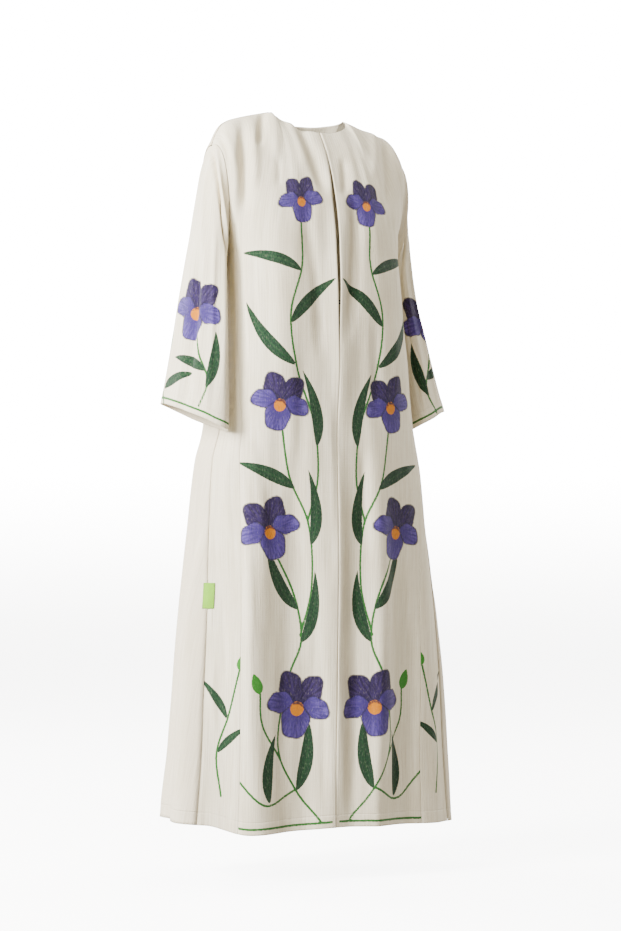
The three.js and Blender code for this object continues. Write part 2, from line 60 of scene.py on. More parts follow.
towards_camera = Vector((-math.sin(VIEW_TURN), -math.cos(VIEW_TURN), 0.0))
camera_right = Vector((math.cos(VIEW_TURN), -math.sin(VIEW_TURN), 0.0))
camera_data = bpy.data.cameras.new("view")
camera_data.lens = LENS_MM
camera_data.sensor_width = SENSOR_MM
camera_data.clip_end = 60.0
camera = add_object("view", camera_data)
camera.location = camera_right * AIM_RIGHT + towards_camera * VIEW_DISTANCE + Vector((0, 0, VIEW_HEIGHT))
aim = camera_right * AIM_RIGHT + Vector((0, 0, AIM_HEIGHT))
camera.rotation_euler = (aim - camera.location).to_track_quat("-Z", "Y").to_euler()
bpy.context.scene.camera = camera


# Front panels
# Two straight-grain panels of ivory linen, from the neck and shoulder seam to the hem. They are
# cut as rectangles with a curved neck edge and sewn to the back at the shoulders.
# Neckline and shoulders, in millimetres from the middle between the two neck points.
NECK_HALF_WIDTH = 86.0
NECK_FRONT = 69.0
NECK_BACK = 58.0
NECK_FRONT_DROP = 45.0
NECK_BACK_DROP = 9.0
SHOULDER_SLOPE = 0.26
SHOULDER_ROUNDING = 43.0
SHOULDER_ROUNDING_POWER = 10
SHOULDER_TILT = 0.035
YOKE_END = -300.0
HEM_LEVEL = -1470.0
HEM_SHIFT_FROM = -1027.0
# Where the panels leave the armhole, as degrees round it from its top.
FRONT_CORNER = 130.0
SIDE_CORNER = 172.0
BACK_CORNER = 230.0
NECK_SHARE = 0.42
UNDERARM_START = 0.87
# Cloth, hem and seams, in millimetres.
CLOTH_THICKNESS = 1.2
HEM_STITCH_UP = 25.5
HEM_FOLD = 27.0
SEAM_FADE = 14.0
NO_SEAM_NEAR = 99.0
SHOULDER_SEAM_SHARE = 0.4
GROOVE_DEPTH = 0.9
GROOVE_HALF_WIDTH = 2.6
SWELL_HEIGHT = 0.45
SWELL_PLACE = 8.0
SWELL_HALF_WIDTH = 4.5
PUCKER_HEIGHT = 0.16

# Half widths and depths of the body by level, the squareness of its corners, and the degrees of
# the gore seam, the side seam and a line behind the arm.
BODY_COLUMNS = ("z", "right", "left", "front", "back", "square", "gore", "side", "behind")
BODY_SECTIONS = (
    (-300, 191, 183, 150, 114, 3.2, 66, 84, 118),
    (-400, 194, 190, 156, 122, 3.3, 64, 82, 118),
    (-500, 199, 200, 156, 130, 3.3, 61, 80, 117),
    (-600, 206, 212, 155, 137, 3.1, 57, 77.5, 116),
    (-655, 211, 220, 154, 141, 3.0, 54, 76, 115),
    (-725, 231, 238, 154, 146, 2.7, 51, 74.5, 114),
    (-890, 250, 262, 153, 156, 2.5, 46.8, 70, 112),
    (-1020, 267, 280, 152, 162, 2.35, 44, 65.5, 111),
    (-1180, 283, 296, 150, 167, 2.3, 42, 63, 110),
    (-1340, 299, 310, 148, 170, 2.2, 40.2, 61, 110),
    (-1500, 315, 324, 146, 173, 2.2, 39, 60, 110),
)
GAP_COLUMNS = ("z", "gap")
FRONT_GAP = (
    (-1500, 0.05), (-540, 0.05), (-500, 1.0), (-450, 3.5), (-390, 6.0),
    (-330, 7.5), (-220, 8.5), (-160, 6.0), (-100, 3.0), (-40, 0.2),
)
# Folds of the skirt: degrees from the centre front at the top and at the hem, the level where
# the fold starts, how far it stands out and its width in degrees.
FOLDS = (
    (-12, -3, -760, 6, 8), (-31, -14, -540, -17, 10), (-45, -32, -460, 13, 8),
    (-64, -50, -700, -10, 9), (-86, -72, -690, 9, 9), (-104, -96, -560, -13, 10),
    (-124, -120, -480, 12, 10), (-144, -143, -420, -15, 10), (-164, -165, -500, 12, 9),
    (176, 174, -380, -15, 9), (156, 152, -520, 13, 10), (137, 131, -440, -14, 10),
    (118, 110, -600, 11, 9), (100, 89, -680, -12, 10), (80, 66, -720, 10, 9),
    (52, 47, -640, 11, 8), (34, 30, -700, -12, 9), (21, 17, -560, 9, 7), (11, 5, -420, -9, 7),
)
HEM_COLUMNS = ("angle", "rise")
HEM_OFFSETS = (
    (-180, 0), (-90, 16), (-55, 11), (-34, -7), (-12, -3), (0, 0), (40, -6), (90, -12), (180, 0),
)
SLEEVE_COLUMNS = ("out_x", "out_z", "in_x", "in_z", "mid_y", "depth", "lean", "drop")
ARMHOLE = {
    -1: (216, -76, 196, -284, -5, 66, 0, 0),
    1: (214, -82, 187, -284, 12, 62, 0, 0),
}
ARMHOLE_SQUARENESS = 2.5


def smooth(value):
    t = np.clip(value, 0.0, 1.0)
    return t * t * (3 - 2 * t)


def mix(a, b, t):
    return a + (b - a) * t


def table_curve(rows, columns, key, column):
    """A smooth curve through one column of a table, without overshoot between its rows."""
    table = np.array(rows, dtype=float)
    order = np.argsort(table[:, columns.index(key)])
    xs = table[order, columns.index(key)]
    ys = table[order, columns.index(column)]
    slopes = np.diff(ys) / np.diff(xs)
    tangents = np.empty_like(ys)
    tangents[0] = slopes[0]
    tangents[-1] = slopes[-1]
    before, after = slopes[:-1], slopes[1:]
    total = np.where(before + after == 0, 1.0, before + after)
    tangents[1:-1] = np.where(before * after <= 0, 0.0, 2 * before * after / total)

    def at(value):
        value = np.clip(np.asarray(value, dtype=float), xs[0], xs[-1])
        i = np.clip(np.searchsorted(xs, value, side="right") - 1, 0, len(xs) - 2)
        step = xs[i + 1] - xs[i]
        t = (value - xs[i]) / step
        t2 = t * t
        t3 = t2 * t
        return (
            (2 * t3 - 3 * t2 + 1) * ys[i] + (t3 - 2 * t2 + t) * step * tangents[i]
            + (-2 * t3 + 3 * t2) * ys[i + 1] + (t3 - t2) * step * tangents[i + 1]
        )

    return at


body_curve = {name: table_curve(BODY_SECTIONS, BODY_COLUMNS, "z", name) for name in BODY_COLUMNS[1:]}
front_gap_at = table_curve(FRONT_GAP, GAP_COLUMNS, "z", "gap")
hem_rise_at = table_curve(HEM_OFFSETS, HEM_COLUMNS, "angle", "rise")


def wrap(angle):
    return (angle + 540.0) % 360.0 - 180.0


def fold_push(angle, z):
    push = np.zeros(np.broadcast(angle, z).shape)
    for top, hem, start, depth, width in FOLDS:
        down = np.clip((start - z) / (start - HEM_LEVEL), 0.0, 1.0)
        away = wrap(angle - mix(top, hem, down)) / width
        push += depth * smooth(down * 1.6) * np.exp(-away * away)
    return push


def tube(side, angle, z):
    """Points of the closed body tube. side is -1 for the garment's right and 1 for its left."""
    half = body_curve["right" if side < 0 else "left"](z)
    depth = np.where(angle < 90, body_curve["front"](z), body_curve["back"](z))
    square = body_curve["square"](z)
    s = np.sin(np.radians(angle))
    c = np.cos(np.radians(angle))
    k = (np.abs(s) ** square + np.abs(c) ** square) ** (-1 / square)
    out_x, out_y = s / half, -c / depth
    length = np.hypot(out_x, out_y)
    push = fold_push(side * angle, z)
    x = side * (half * k * s + out_x / length * push)
    y = -depth * k * c + out_y / length * push
    return np.stack(np.broadcast_arrays(x, y, z), axis=-1)


def sleeve_section(side, row, degrees, square):
    out_x, out_z, in_x, in_z, mid_y, depth, lean, drop = row
    c = np.cos(np.radians(degrees))
    s = np.sin(np.radians(degrees))
    k = (np.abs(c) ** square + np.abs(s) ** square) ** (-1 / square)
    across, along = k * c, k * s
    x = mix(in_x, out_x, (1 + across) / 2) - lean * along
    z = mix(in_z, out_z, (1 + across) / 2) - drop * along
    return np.stack(np.broadcast_arrays(side * x, mid_y - depth * along, z), axis=-1)


def armhole(side, degrees):
    return sleeve_section(side, ARMHOLE[side], degrees, ARMHOLE_SQUARENESS)


def top_edge(side, s, front):
    """Round the neck, then along the shoulder seam to the armhole."""
    turn = np.radians(90 * np.clip(s / NECK_SHARE, 0, 1))
    reach = -NECK_FRONT if front else NECK_BACK
    drop = NECK_FRONT_DROP if front else NECK_BACK_DROP
    x = side * NECK_HALF_WIDTH * np.sin(turn)
    c = np.maximum(0.0, np.cos(turn))
    neck = np.stack([x, reach * c, -drop * c ** 1.2 - SHOULDER_TILT * x], axis=-1)
    tip = armhole(side, 0.0)
    span = abs(tip[0]) - NECK_HALF_WIDTH
    along = np.sin(np.radians(90 * np.clip((s - NECK_SHARE) / (1 - NECK_SHARE), 0, 1)))
    x = NECK_HALF_WIDTH + span * along
    level = -SHOULDER_SLOPE * span * along - SHOULDER_ROUNDING * along ** SHOULDER_ROUNDING_POWER
    end = -SHOULDER_SLOPE * span - SHOULDER_ROUNDING
    tilt = -SHOULDER_TILT * side * x * (1 - along ** 2)
    z = level + (tip[2] - end) * along ** 4 + tilt
    shoulder = np.stack([side * x, tip[1] * along, z], axis=-1)
    return np.where((s < NECK_SHARE)[:, None], neck, shoulder)


def column_angle(s, z, front):
    return s * body_curve["gore"](z) if front else 180 - s * (180 - body_curve["behind"](z))


def fall_curve(side, s, fall, front):
    """Columns of the yoke, which fall from the top edge to the body tube in a quarter round."""
    top = top_edge(side, s, front)[None]
    foot = tube(side, column_angle(s, YOKE_END, front), np.full_like(s, YOKE_END))[None]
    lead = 36 if front else 26
    start = lead * (1 - np.clip(s / NECK_SHARE, 0, 1)) ** 0.8
    power = 1.25 if front else 1.1
    turn = np.radians(mix(start[None], 90.0, fall[:, None]))
    sine0 = np.sin(np.radians(start)) ** power
    out = (np.sin(turn) ** power - sine0) / (1 - sine0)
    cosine0 = np.cos(np.radians(start))
    down = (cosine0 - np.cos(turn)) / cosine0
    x = mix(top[..., 0], foot[..., 0], mix(out, down, 0.5))
    return np.stack([x, mix(top[..., 1], foot[..., 1], out), mix(top[..., 2], foot[..., 2], down)], axis=-1)


def yoke_edge(side, t, front):
    corner = FRONT_CORNER if front else BACK_CORNER
    start = 0.0 if front else 360.0
    upper = armhole(side, mix(start, corner, np.minimum(t, 1.0)))
    foot = tube(side, column_angle(1.0, YOKE_END, front), YOKE_END)
    lower = mix(armhole(side, corner)[None], foot[None], np.clip(t - 1, 0, 1)[:, None])
    return np.where((t <= 1)[:, None], upper, lower)


def yoke(side, s, t, front):
    fall = np.where(t <= 1, t * UNDERARM_START, mix(UNDERARM_START, 1.0, t - 1))
    points = fall_curve(side, s, fall, front)
    pull = yoke_edge(side, t, front) - fall_curve(side, np.ones(1), fall, front)[:, 0]
    return points + pull[:, None] * smooth((s - 0.5) / 0.5)[None, :, None]


def skirt(side, angle_at, levels):
    angle = angle_at(levels[:, None])
    low = smooth((HEM_SHIFT_FROM - levels) / (HEM_SHIFT_FROM - HEM_LEVEL))[:, None]
    z = levels[:, None] + hem_rise_at(side * angle) * low
    return tube(side, angle, z)


YOKE_ROWS = 84
UNDERARM_ROWS = 6
SKIRT_ROWS = 356
yoke_rows = np.concatenate([
    np.linspace(0, 1, YOKE_ROWS + 1),
    np.linspace(1, 2, UNDERARM_ROWS + 1)[1:],
])
under_rows = yoke_rows[YOKE_ROWS:]
skirt_levels = np.linspace(YOKE_END, HEM_LEVEL, SKIRT_ROWS + 1)[1:]


def panel_form(side, s, front):
    upper = yoke(side, s, yoke_rows, front)
    lower = skirt(side, lambda z: column_angle(s[None], z, front), skirt_levels)
    return np.concatenate([upper, lower])


def under_form(side, s, gore):
    """The part of a panel below the armhole's lowest stretch, from the loop to the hem."""
    edge = "gore" if gore else "behind"

    def angle_at(z):
        return mix(body_curve[edge](z), body_curve["side"](z), s[None])

    corner = FRONT_CORNER if gore else BACK_CORNER
    loop = armhole(side, mix(corner, SIDE_CORNER, s))
    foot = tube(side, angle_at(np.array([[YOKE_END]]))[0], np.full_like(s, YOKE_END))
    upper = mix(loop[None], foot[None], (under_rows - 1)[:, None, None])
    return np.concatenate([upper, skirt(side, angle_at, skirt_levels)])


def outward(points, flip):
    rows = np.gradient(points, axis=0)
    columns = np.gradient(points, axis=1)
    normal = np.cross(columns, rows)
    normal /= np.linalg.norm(normal, axis=-1, keepdims=True) + 1e-12
    return normal * (1 if flip else -1)


def across_lengths(points):
    step = np.linalg.norm(np.diff(points, axis=1), axis=-1)
    return np.concatenate([np.zeros((points.shape[0], 1)), np.cumsum(step, axis=1)], axis=1)


def down_lengths(points, start_row):
    """Length down the cloth, equal to the depth below the origin where the body tube starts."""
    step = np.linalg.norm(np.diff(points, axis=0), axis=-1)
    total = np.concatenate([np.zeros((1, points.shape[1])), np.cumsum(step, axis=0)])
    return total - total[start_row][None] - YOKE_END


def picture_place(points):
    """Where points in millimetres stand in the picture, for creases placed in the picture."""
    eye = np.array(camera.location)
    ahead = np.array((aim - camera.location).normalized())
    right = np.array(camera_right)
    up = np.cross(right, ahead)
    away = points * MM - eye
    scale = LENS_MM / SENSOR_MM * PICTURE_HEIGHT / (away @ ahead)
    return PICTURE_WIDTH / 2 + (away @ right) * scale, PICTURE_HEIGHT / 2 - (away @ up) * scale


def crease_push(u, v, creases):
    """Soft troughs and ridges along slightly bowed lines, fading at both ends."""
    push = np.zeros_like(u)
    for u0, v0, u1, v1, depth, width in creases:
        du, dv = u1 - u0, v1 - v0
        length = math.hypot(du, dv)
        along = ((u - u0) * du + (v - v0) * dv) / length ** 2
        away = ((u - u0) * dv - (v - v0) * du) / length
        bow = width * 0.5 * np.sin(np.pi * np.clip(along, 0, 1))
        ends = smooth(along / 0.3) * smooth((1 - along) / 0.3)
        push += depth * ends * np.exp(-((away - bow) / width) ** 2)
    return push


def cloth_ripple(u, v, seed):
    """The small unevenness of hanging linen, longer down the grain than across it."""
    rng = np.random.default_rng(seed)
    push = np.zeros_like(u)
    for _ in range(10):
        wave_u = rng.uniform(34, 90)
        wave_v = rng.uniform(210, 560)
        phase, bend = rng.uniform(0, 2 * np.pi, 2)
        sway = 0.6 * np.sin(2 * np.pi * v / wave_v + bend)
        push += 0.34 * np.sin(2 * np.pi * u / wave_u + phase + sway) * np.sin(np.pi * v / wave_v + bend)
    return push


def seam_push(distance, along, seed):
    """The groove at a sewn edge, the swell of the turned cloth beside it, and its slight pucker."""
    rng = np.random.default_rng(seed)
    pucker = np.zeros_like(distance)
    for _ in range(4):
        pucker += np.sin(2 * np.pi * along / rng.uniform(17, 46) + rng.uniform(0, 6.3))
    groove = -GROOVE_DEPTH * np.exp(-(distance / GROOVE_HALF_WIDTH) ** 2)
    swell = SWELL_HEIGHT * np.exp(-((distance - SWELL_PLACE) / SWELL_HALF_WIDTH) ** 2)
    return groove + swell + PUCKER_HEIGHT * pucker * np.exp(-distance / 9.0)


def hem_push(distance):
    """A folded hem is thicker than the single cloth above it."""
    return 0.55 * smooth((HEM_FOLD - distance) / 5.0)


def faded(push, seam_gap):
    """The push fades towards a seam, so that sewn panels stay together."""
    return push * (smooth(seam_gap / SEAM_FADE) * 0.85 + 0.15)


def line_down(form, across, place):
    """Points at one distance across the cloth, on every row of a form."""
    rows = range(form.shape[0])
    return np.array([[np.interp(place, across[i], form[i, :, k]) for k in range(3)] for i in rows])


def line_across(form, down, place):
    """Points at one distance down the cloth, on every column of a form."""
    columns = range(form.shape[1])
    return np.array([[np.interp(place[j], down[:, j], form[:, j, k]) for k in range(3)] for j in columns])


def cloth_mesh(name, form, normal, flat_u, flat_v, values, flip,
               closed=False, keep=None, wall=CLOTH_THICKNESS):
    """One closed cloth wall: the outer face, the inner face and the cut edges between them."""
    rows, columns = form.shape[:2]
    total = rows * columns
    ids = np.arange(total).reshape(rows, columns)
    same = ids.copy()
    if closed:
        same[:, -1] = ids[:, 0]
    same = same.reshape(-1)
    quads = np.stack([ids[:-1, :-1], ids[1:, :-1], ids[1:, 1:], ids[:-1, 1:]], axis=-1).reshape(-1, 4)
    if keep is not None:
        quads = quads[keep.reshape(-1)]
    if flip:
        quads = quads[:, ::-1]
    ahead = np.roll(quads, -1, axis=1)
    code = same[quads].astype(np.int64) * total + same[ahead]
    back_code = same[ahead].astype(np.int64) * total + same[quads]
    border = ~np.isin(code, back_code)
    first, second = quads[border], ahead[border]
    rims = np.stack([second, first, first, second], axis=-1)
    corners = np.concatenate([quads, quads[:, ::-1], rims])
    layer = np.zeros(corners.shape, dtype=np.int64)
    layer[len(quads):2 * len(quads)] = 1
    layer[2 * len(quads):, 2:] = 1
    used, vertex = np.unique(same[corners] + total * layer, return_inverse=True)
    inner = form - normal * wall
    points = np.concatenate([form.reshape(-1, 3), inner.reshape(-1, 3)])[used] * MM
    mesh = bpy.data.meshes.new(name)
    mesh.vertices.add(len(points))
    mesh.vertices.foreach_set("co", points.ravel())
    mesh.loops.add(corners.size)
    mesh.loops.foreach_set("vertex_index", vertex.ravel().astype(np.int32))
    mesh.polygons.add(len(corners))
    mesh.polygons.foreach_set("loop_start", np.arange(0, corners.size, 4, dtype=np.int32))
    mesh.update(calc_edges=True)
    mesh.polygons.foreach_set("use_smooth", np.ones(len(corners), dtype=bool))
    flat = np.stack([flat_u, -flat_v], axis=-1).reshape(-1, 2)[corners] * MM
    mesh.uv_layers.new(name="flat_cloth").data.foreach_set("uv", flat.ravel().astype(np.float32))
    values["inside"] = np.zeros((rows, columns))
    for key, value in values.items():
        both = np.concatenate([value.reshape(-1), value.reshape(-1)])
        if key == "inside":
            both[total:] = 1.0
        mesh.attributes.new(key, "FLOAT", "POINT").data.foreach_set("value", both[used].astype(np.float32))
    return add_object(name, mesh)


# The print's motifs are generic garden flowers with five petals, pointed leaves, buds and stems.
# They are placed on the flat cloth in millimetres: across from the panel's edge, and down.
FAR = -25.0
BORDER_UP = 12.0
BORDER_HALF_WIDTH = 2.4
FRONT_EDGE_BARE = 6.0
# Petals of a flower one unit across: middle, half sizes and lean in degrees.
PETALS = (
    (-0.17, 0.25, 0.20, 0.28, 22),
    (0.17, 0.25, 0.20, 0.28, -22),
    (-0.32, 0.00, 0.25, 0.17, 14),
    (0.32, 0.00, 0.25, 0.17, -14),
    (0.0, -0.27, 0.24, 0.28, 0),
)


def empty_print(shape):
    names = ("leaf", "stem", "bud", "petal_dark", "petal_mid", "throat")
    motif = {name: np.full(shape, FAR) for name in names}
    motif["petal_line"] = np.full(shape, -FAR)
    motif["leaf_side"] = np.zeros(shape)
    motif["petal_round"] = np.zeros(shape)
    motif["petal_reach"] = np.zeros(shape)
    return motif


def turned(u, v, u0, v0, degrees):
    """Local coordinates of a motif: x to its right and y up along its own direction."""
    c, s = math.cos(math.radians(degrees)), math.sin(math.radians(degrees))
    x, y = u - u0, v0 - v
    return x * c + y * s, -x * s + y * c


def put(motif, name, shape, where=True):
    motif[name] = np.where(where, np.maximum(motif[name], np.clip(shape, FAR, -FAR)), motif[name])


def add_flower(motif, u, v, u0, v0, size, degrees):
    x, y = turned(u, v, u0, v0, degrees)
    x, y = x / size, y / size
    near = np.hypot(x, y) < 0.75
    inside = []
    for cx, cy, rx, ry, lean in PETALS:
        c, s = math.cos(math.radians(lean)), math.sin(math.radians(lean))
        px, py = (x - cx) * c + (y - cy) * s, -(x - cx) * s + (y - cy) * c
        wave = 0.05 * np.sin(5 * np.arctan2(py, px) + 9 * cx)
        inside.append((1 + wave - np.hypot(px / rx, py / ry)) * min(rx, ry) * size)
    line = np.full(u.shape, 99.0)
    cover = np.full(u.shape, FAR)
    for petal in reversed(inside):
        line = np.minimum(line, np.maximum(np.abs(petal), cover))
        cover = np.maximum(cover, petal)
    dark = np.maximum(inside[0], inside[1])
    mid = np.maximum.reduce(inside[2:])
    throat = (1 - np.hypot(x / 0.11, (y + 0.06) / 0.12)) * 0.11 * size
    for key, value in (("petal_dark", dark), ("petal_mid", mid), ("throat", throat)):
        put(motif, key, value, near)
    for key in ("leaf", "stem", "bud"):
        motif[key] = np.where(near, np.minimum(motif[key], -cover), motif[key])
    motif["petal_line"] = np.where(near, np.minimum(motif["petal_line"], line), motif["petal_line"])
    motif["petal_round"] = np.where(near, np.arctan2(x, -(y + 0.02)), motif["petal_round"])
    motif["petal_reach"] = np.where(near, np.hypot(x, y + 0.02), motif["petal_reach"])


def add_leaf(motif, u, v, u0, v0, length, width, degrees, bend):
    """A pointed leaf from its stalk, bent to one side along its length."""
    x, y = turned(u, v, u0, v0, degrees)
    along = y / length
    side = x - bend * length * along * along
    inside = np.clip(along, 0, 1)
    half = 0.5 * width * np.sin(np.pi * inside ** 0.8) ** 0.85
    shape = np.where((along > 0) & (along < 1), half - np.abs(side), FAR)
    motif["leaf_side"] = np.where(shape > motif["leaf"], side, motif["leaf_side"])
    put(motif, "leaf", shape)


def add_bud(motif, u, v, u0, v0, length, degrees):
    x, y = turned(u, v, u0, v0, degrees)
    along = np.clip(y / length, 0, 1)
    half = 0.26 * length * np.sin(np.pi * along ** 0.75) ** 0.9
    put(motif, "bud", np.where((y > 0) & (y < length), half - np.abs(x), FAR))


def curve_through(points, steps=14):
    """A smooth line through points on the cloth."""
    p = np.array(points, dtype=float)
    p = np.concatenate([[2 * p[0] - p[1]], p, [2 * p[-1] - p[-2]]])
    t = np.linspace(0, 1, steps, endpoint=False)[:, None]
    line = []
    for a, b, c, d in zip(p[:-3], p[1:-2], p[2:-1], p[3:]):
        line.append(0.5 * (2 * b + (c - a) * t + (2 * a - 5 * b + 4 * c - d) * t ** 2
                           + (3 * b - a - 3 * c + d) * t ** 3))
    return np.concatenate(line + [p[-2:-1]])


def add_stem(motif, u, v, points, thickness=4.6):
    line = curve_through(points)
    best = np.full(u.shape, -2 * FAR)
    for (u0, v0), (u1, v1) in zip(line[:-1], line[1:]):
        du, dv = u1 - u0, v1 - v0
        share = np.clip(((u - u0) * du + (v - v0) * dv) / (du * du + dv * dv + 1e-9), 0, 1)
        best = np.minimum(best, np.hypot(u - u0 - share * du, v - v0 - share * dv))
    put(motif, "stem", thickness / 2 - best)


def front_print(u, v, hem_v):
    motif = empty_print(u.shape)
    hem = float(hem_v.mean())
    add_stem(motif, u, v, (
        (34, hem - 20), (86, 1392), (128, 1300), (104, 1170), (78, 1090), (96, 990), (142, 900),
    ))
    add_stem(motif, u, v, ((80, 1082), (56, 980), (62, 860), (104, 760), (122, 650)))
    add_stem(motif, u, v, ((64, 850), (44, 760), (54, 650), (92, 540), (102, 430), (74, 330), (76, 235)))
    add_stem(motif, u, v, ((122, 1330), (166, 1260), (172, 1192)))
    add_stem(motif, u, v, ((86, 1392), (158, 1420), (222, 1366)))
    add_leaf(motif, u, v, 78, 1096, 138, 27, 34, 0.42)
    add_leaf(motif, u, v, 84, 1030, 146, 28, -46, -0.34)
    add_leaf(motif, u, v, 84, 1394, 146, 28, 26, 0.34)
    add_leaf(motif, u, v, 148, 1416, 132, 26, -14, -0.36)
    add_leaf(motif, u, v, 58, 900, 140, 26, 22, 0.46)
    add_leaf(motif, u, v, 92, 786, 128, 27, -54, 0.24)
    add_leaf(motif, u, v, 47, 700, 146, 26, 10, 0.40)
    add_leaf(motif, u, v, 94, 536, 156, 27, -58, -0.36)
    add_leaf(motif, u, v, 102, 452, 136, 25, 34, -0.22)
    add_leaf(motif, u, v, 76, 345, 128, 24, -56, 0.32)
    add_bud(motif, u, v, 171, 1198, 44, -20)
    add_bud(motif, u, v, 220, 1370, 40, -58)
    add_flower(motif, u, v, 146, 868, 116, -16)
    add_flower(motif, u, v, 124, 612, 108, 12)
    add_flower(motif, u, v, 76, 196, 92, -8)
    add_flower(motif, u, v, 84, 1222, 124, 10)
    border = BORDER_HALF_WIDTH - np.abs(hem_v - v - BORDER_UP)
    motif["stem"] = np.maximum(motif["stem"], np.where(u > FRONT_EDGE_BARE, border, FAR))
    return motif


def node(tree, kind, inputs=None, **settings):
    made = tree.nodes.new(kind)
    for key, value in settings.items():
        setattr(made, key, value)
    for key, value in (inputs or {}).items():
        if isinstance(value, bpy.types.NodeSocket):
            tree.links.new(value, made.inputs[key])
        else:
            made.inputs[key].default_value = value
    return made


def maths(tree, operation, *values, clamp=False):
    inputs = {index: value for index, value in enumerate(values)}
    return node(tree, "ShaderNodeMath", inputs, operation=operation, use_clamp=clamp).outputs[0]


def spread(tree, value, low, high, first, second):
    """Maps a value softly from one range to another."""
    inputs = {0: value, 1: low, 2: high, 3: first, 4: second}
    return node(tree, "ShaderNodeMapRange", inputs, interpolation_type="SMOOTHSTEP").outputs[0]


def tint(tree, share, first, second):
    inputs = {0: share, 6: first, 7: second}
    return node(tree, "ShaderNodeMix", inputs, data_type="RGBA").outputs[2]


def streaks(tree, place, across, along, detail=3.0, seed=0.0):
    """Noise drawn out along one direction of the cloth, in cycles a metre."""
    mapped = node(tree, "ShaderNodeMapping", {0: place, 1: (seed, seed * 0.7, seed), 3: (across, along, 1.0)})
    inputs = {"Vector": mapped.outputs[0], "Scale": 1.0, "Detail": detail, "Roughness": 0.6}
    return node(tree, "ShaderNodeTexNoise", inputs).outputs[0]


def value_of(tree, name):
    return node(tree, "ShaderNodeAttribute", attribute_name=name).outputs["Fac"]


def speckle(tree, scale, detail):
    """Noise fixed to the object's own place."""
    place = node(tree, "ShaderNodeTexCoord").outputs["Object"]
    return node(tree, "ShaderNodeTexNoise", {"Vector": place, "Scale": scale, "Detail": detail}).outputs[0]


def new_material(name):
    material = bpy.data.materials.new(name)
    material.use_nodes = True
    material.node_tree.nodes.clear()
    return material, material.node_tree


def surface(tree, **inputs):
    """The finished surface. An input's name has _ for each space in its socket's name."""
    named = {key.replace("_", " "): value for key, value in inputs.items()}
    made = node(tree, "ShaderNodeBsdfPrincipled", named)
    node(tree, "ShaderNodeOutputMaterial", {"Surface": made.outputs[0]})


def paint(red, green, blue):
    """A colour as the eye sees it on a screen, turned into light."""
    light = [(c / 255 / 12.92) if c <= 10 else ((c / 255 + 0.055) / 1.055) ** 2.4 for c in (red, green, blue)]
    return (*light, 1.0)


def add_print(tree, place, cloth_colour):
    """The printed motifs over the cloth's own colour, with slightly uneven, brushed edges."""
    brush = streaks(tree, place, 260.0, 260.0, 4.0, 3.0)
    waver = maths(tree, "MULTIPLY", maths(tree, "SUBTRACT", brush, 0.5), 2.6)
    grain = streaks(tree, place, 900.0, 120.0, 2.0, 5.0)

    def area(name, low=-0.7, high=0.7):
        return spread(tree, maths(tree, "ADD", value_of(tree, name), waver), low, high, 0.0, 1.0)

    leaf_light = tint(tree, spread(tree, brush, 0.35, 0.65, 0.0, 1.0), paint(14, 40, 26), paint(26, 58, 34))
    rib = spread(tree, maths(tree, "ABSOLUTE", value_of(tree, "leaf_side")), 0.4, 2.2, 0.55, 0.0)
    leaf_colour = tint(tree, rib, leaf_light, paint(34, 68, 38))
    colour = tint(tree, area("stem"), cloth_colour, paint(34, 92, 34))
    colour = tint(tree, area("leaf"), colour, leaf_colour)
    bud_colour = tint(tree, brush, paint(30, 100, 28), paint(58, 132, 40))
    colour = tint(tree, area("bud"), colour, bud_colour)
    round_place = node(tree, "ShaderNodeCombineXYZ", {
        0: maths(tree, "MULTIPLY", value_of(tree, "petal_round"), 7.0),
        1: maths(tree, "MULTIPLY", value_of(tree, "petal_reach"), 3.0),
    })
    veins = node(tree, "ShaderNodeTexNoise", {"Vector": round_place.outputs[0], "Scale": 1.6, "Detail": 3.0})
    vein = spread(tree, veins.outputs[0], 0.38, 0.64, 0.0, 1.0)
    dark = tint(tree, vein, paint(32, 22, 54), paint(48, 35, 78))
    colour = tint(tree, area("petal_dark"), colour, dark)
    reach = spread(tree, value_of(tree, "petal_reach"), 0.12, 0.5, 0.0, 1.0)
    pale = tint(tree, reach, paint(56, 40, 102), paint(82, 66, 136))
    mid = tint(tree, vein, paint(54, 42, 102), pale)
    colour = tint(tree, area("petal_mid"), colour, mid)
    gold = tint(tree, brush, paint(176, 96, 0), paint(200, 124, 0))
    colour = tint(tree, area("throat"), colour, gold)
    line = spread(tree, maths(tree, "ADD", value_of(tree, "petal_line"), waver), 0.5, 2.4, 0.85, 0.0)
    colour = tint(tree, line, colour, paint(24, 18, 46))
    worn = spread(tree, grain, 0.28, 0.46, 0.10, 0.0)
    colour = tint(tree, worn, colour, cloth_colour)
    through = maths(tree, "MULTIPLY", value_of(tree, "inside"), 0.86)
    return tint(tree, through, colour, cloth_colour)


THREADS_A_METRE = 1100.0


def thread_rows(tree, place):
    turn = maths(tree, "MULTIPLY", place, math.pi * THREADS_A_METRE)
    return maths(tree, "ABSOLUTE", maths(tree, "SINE", turn))


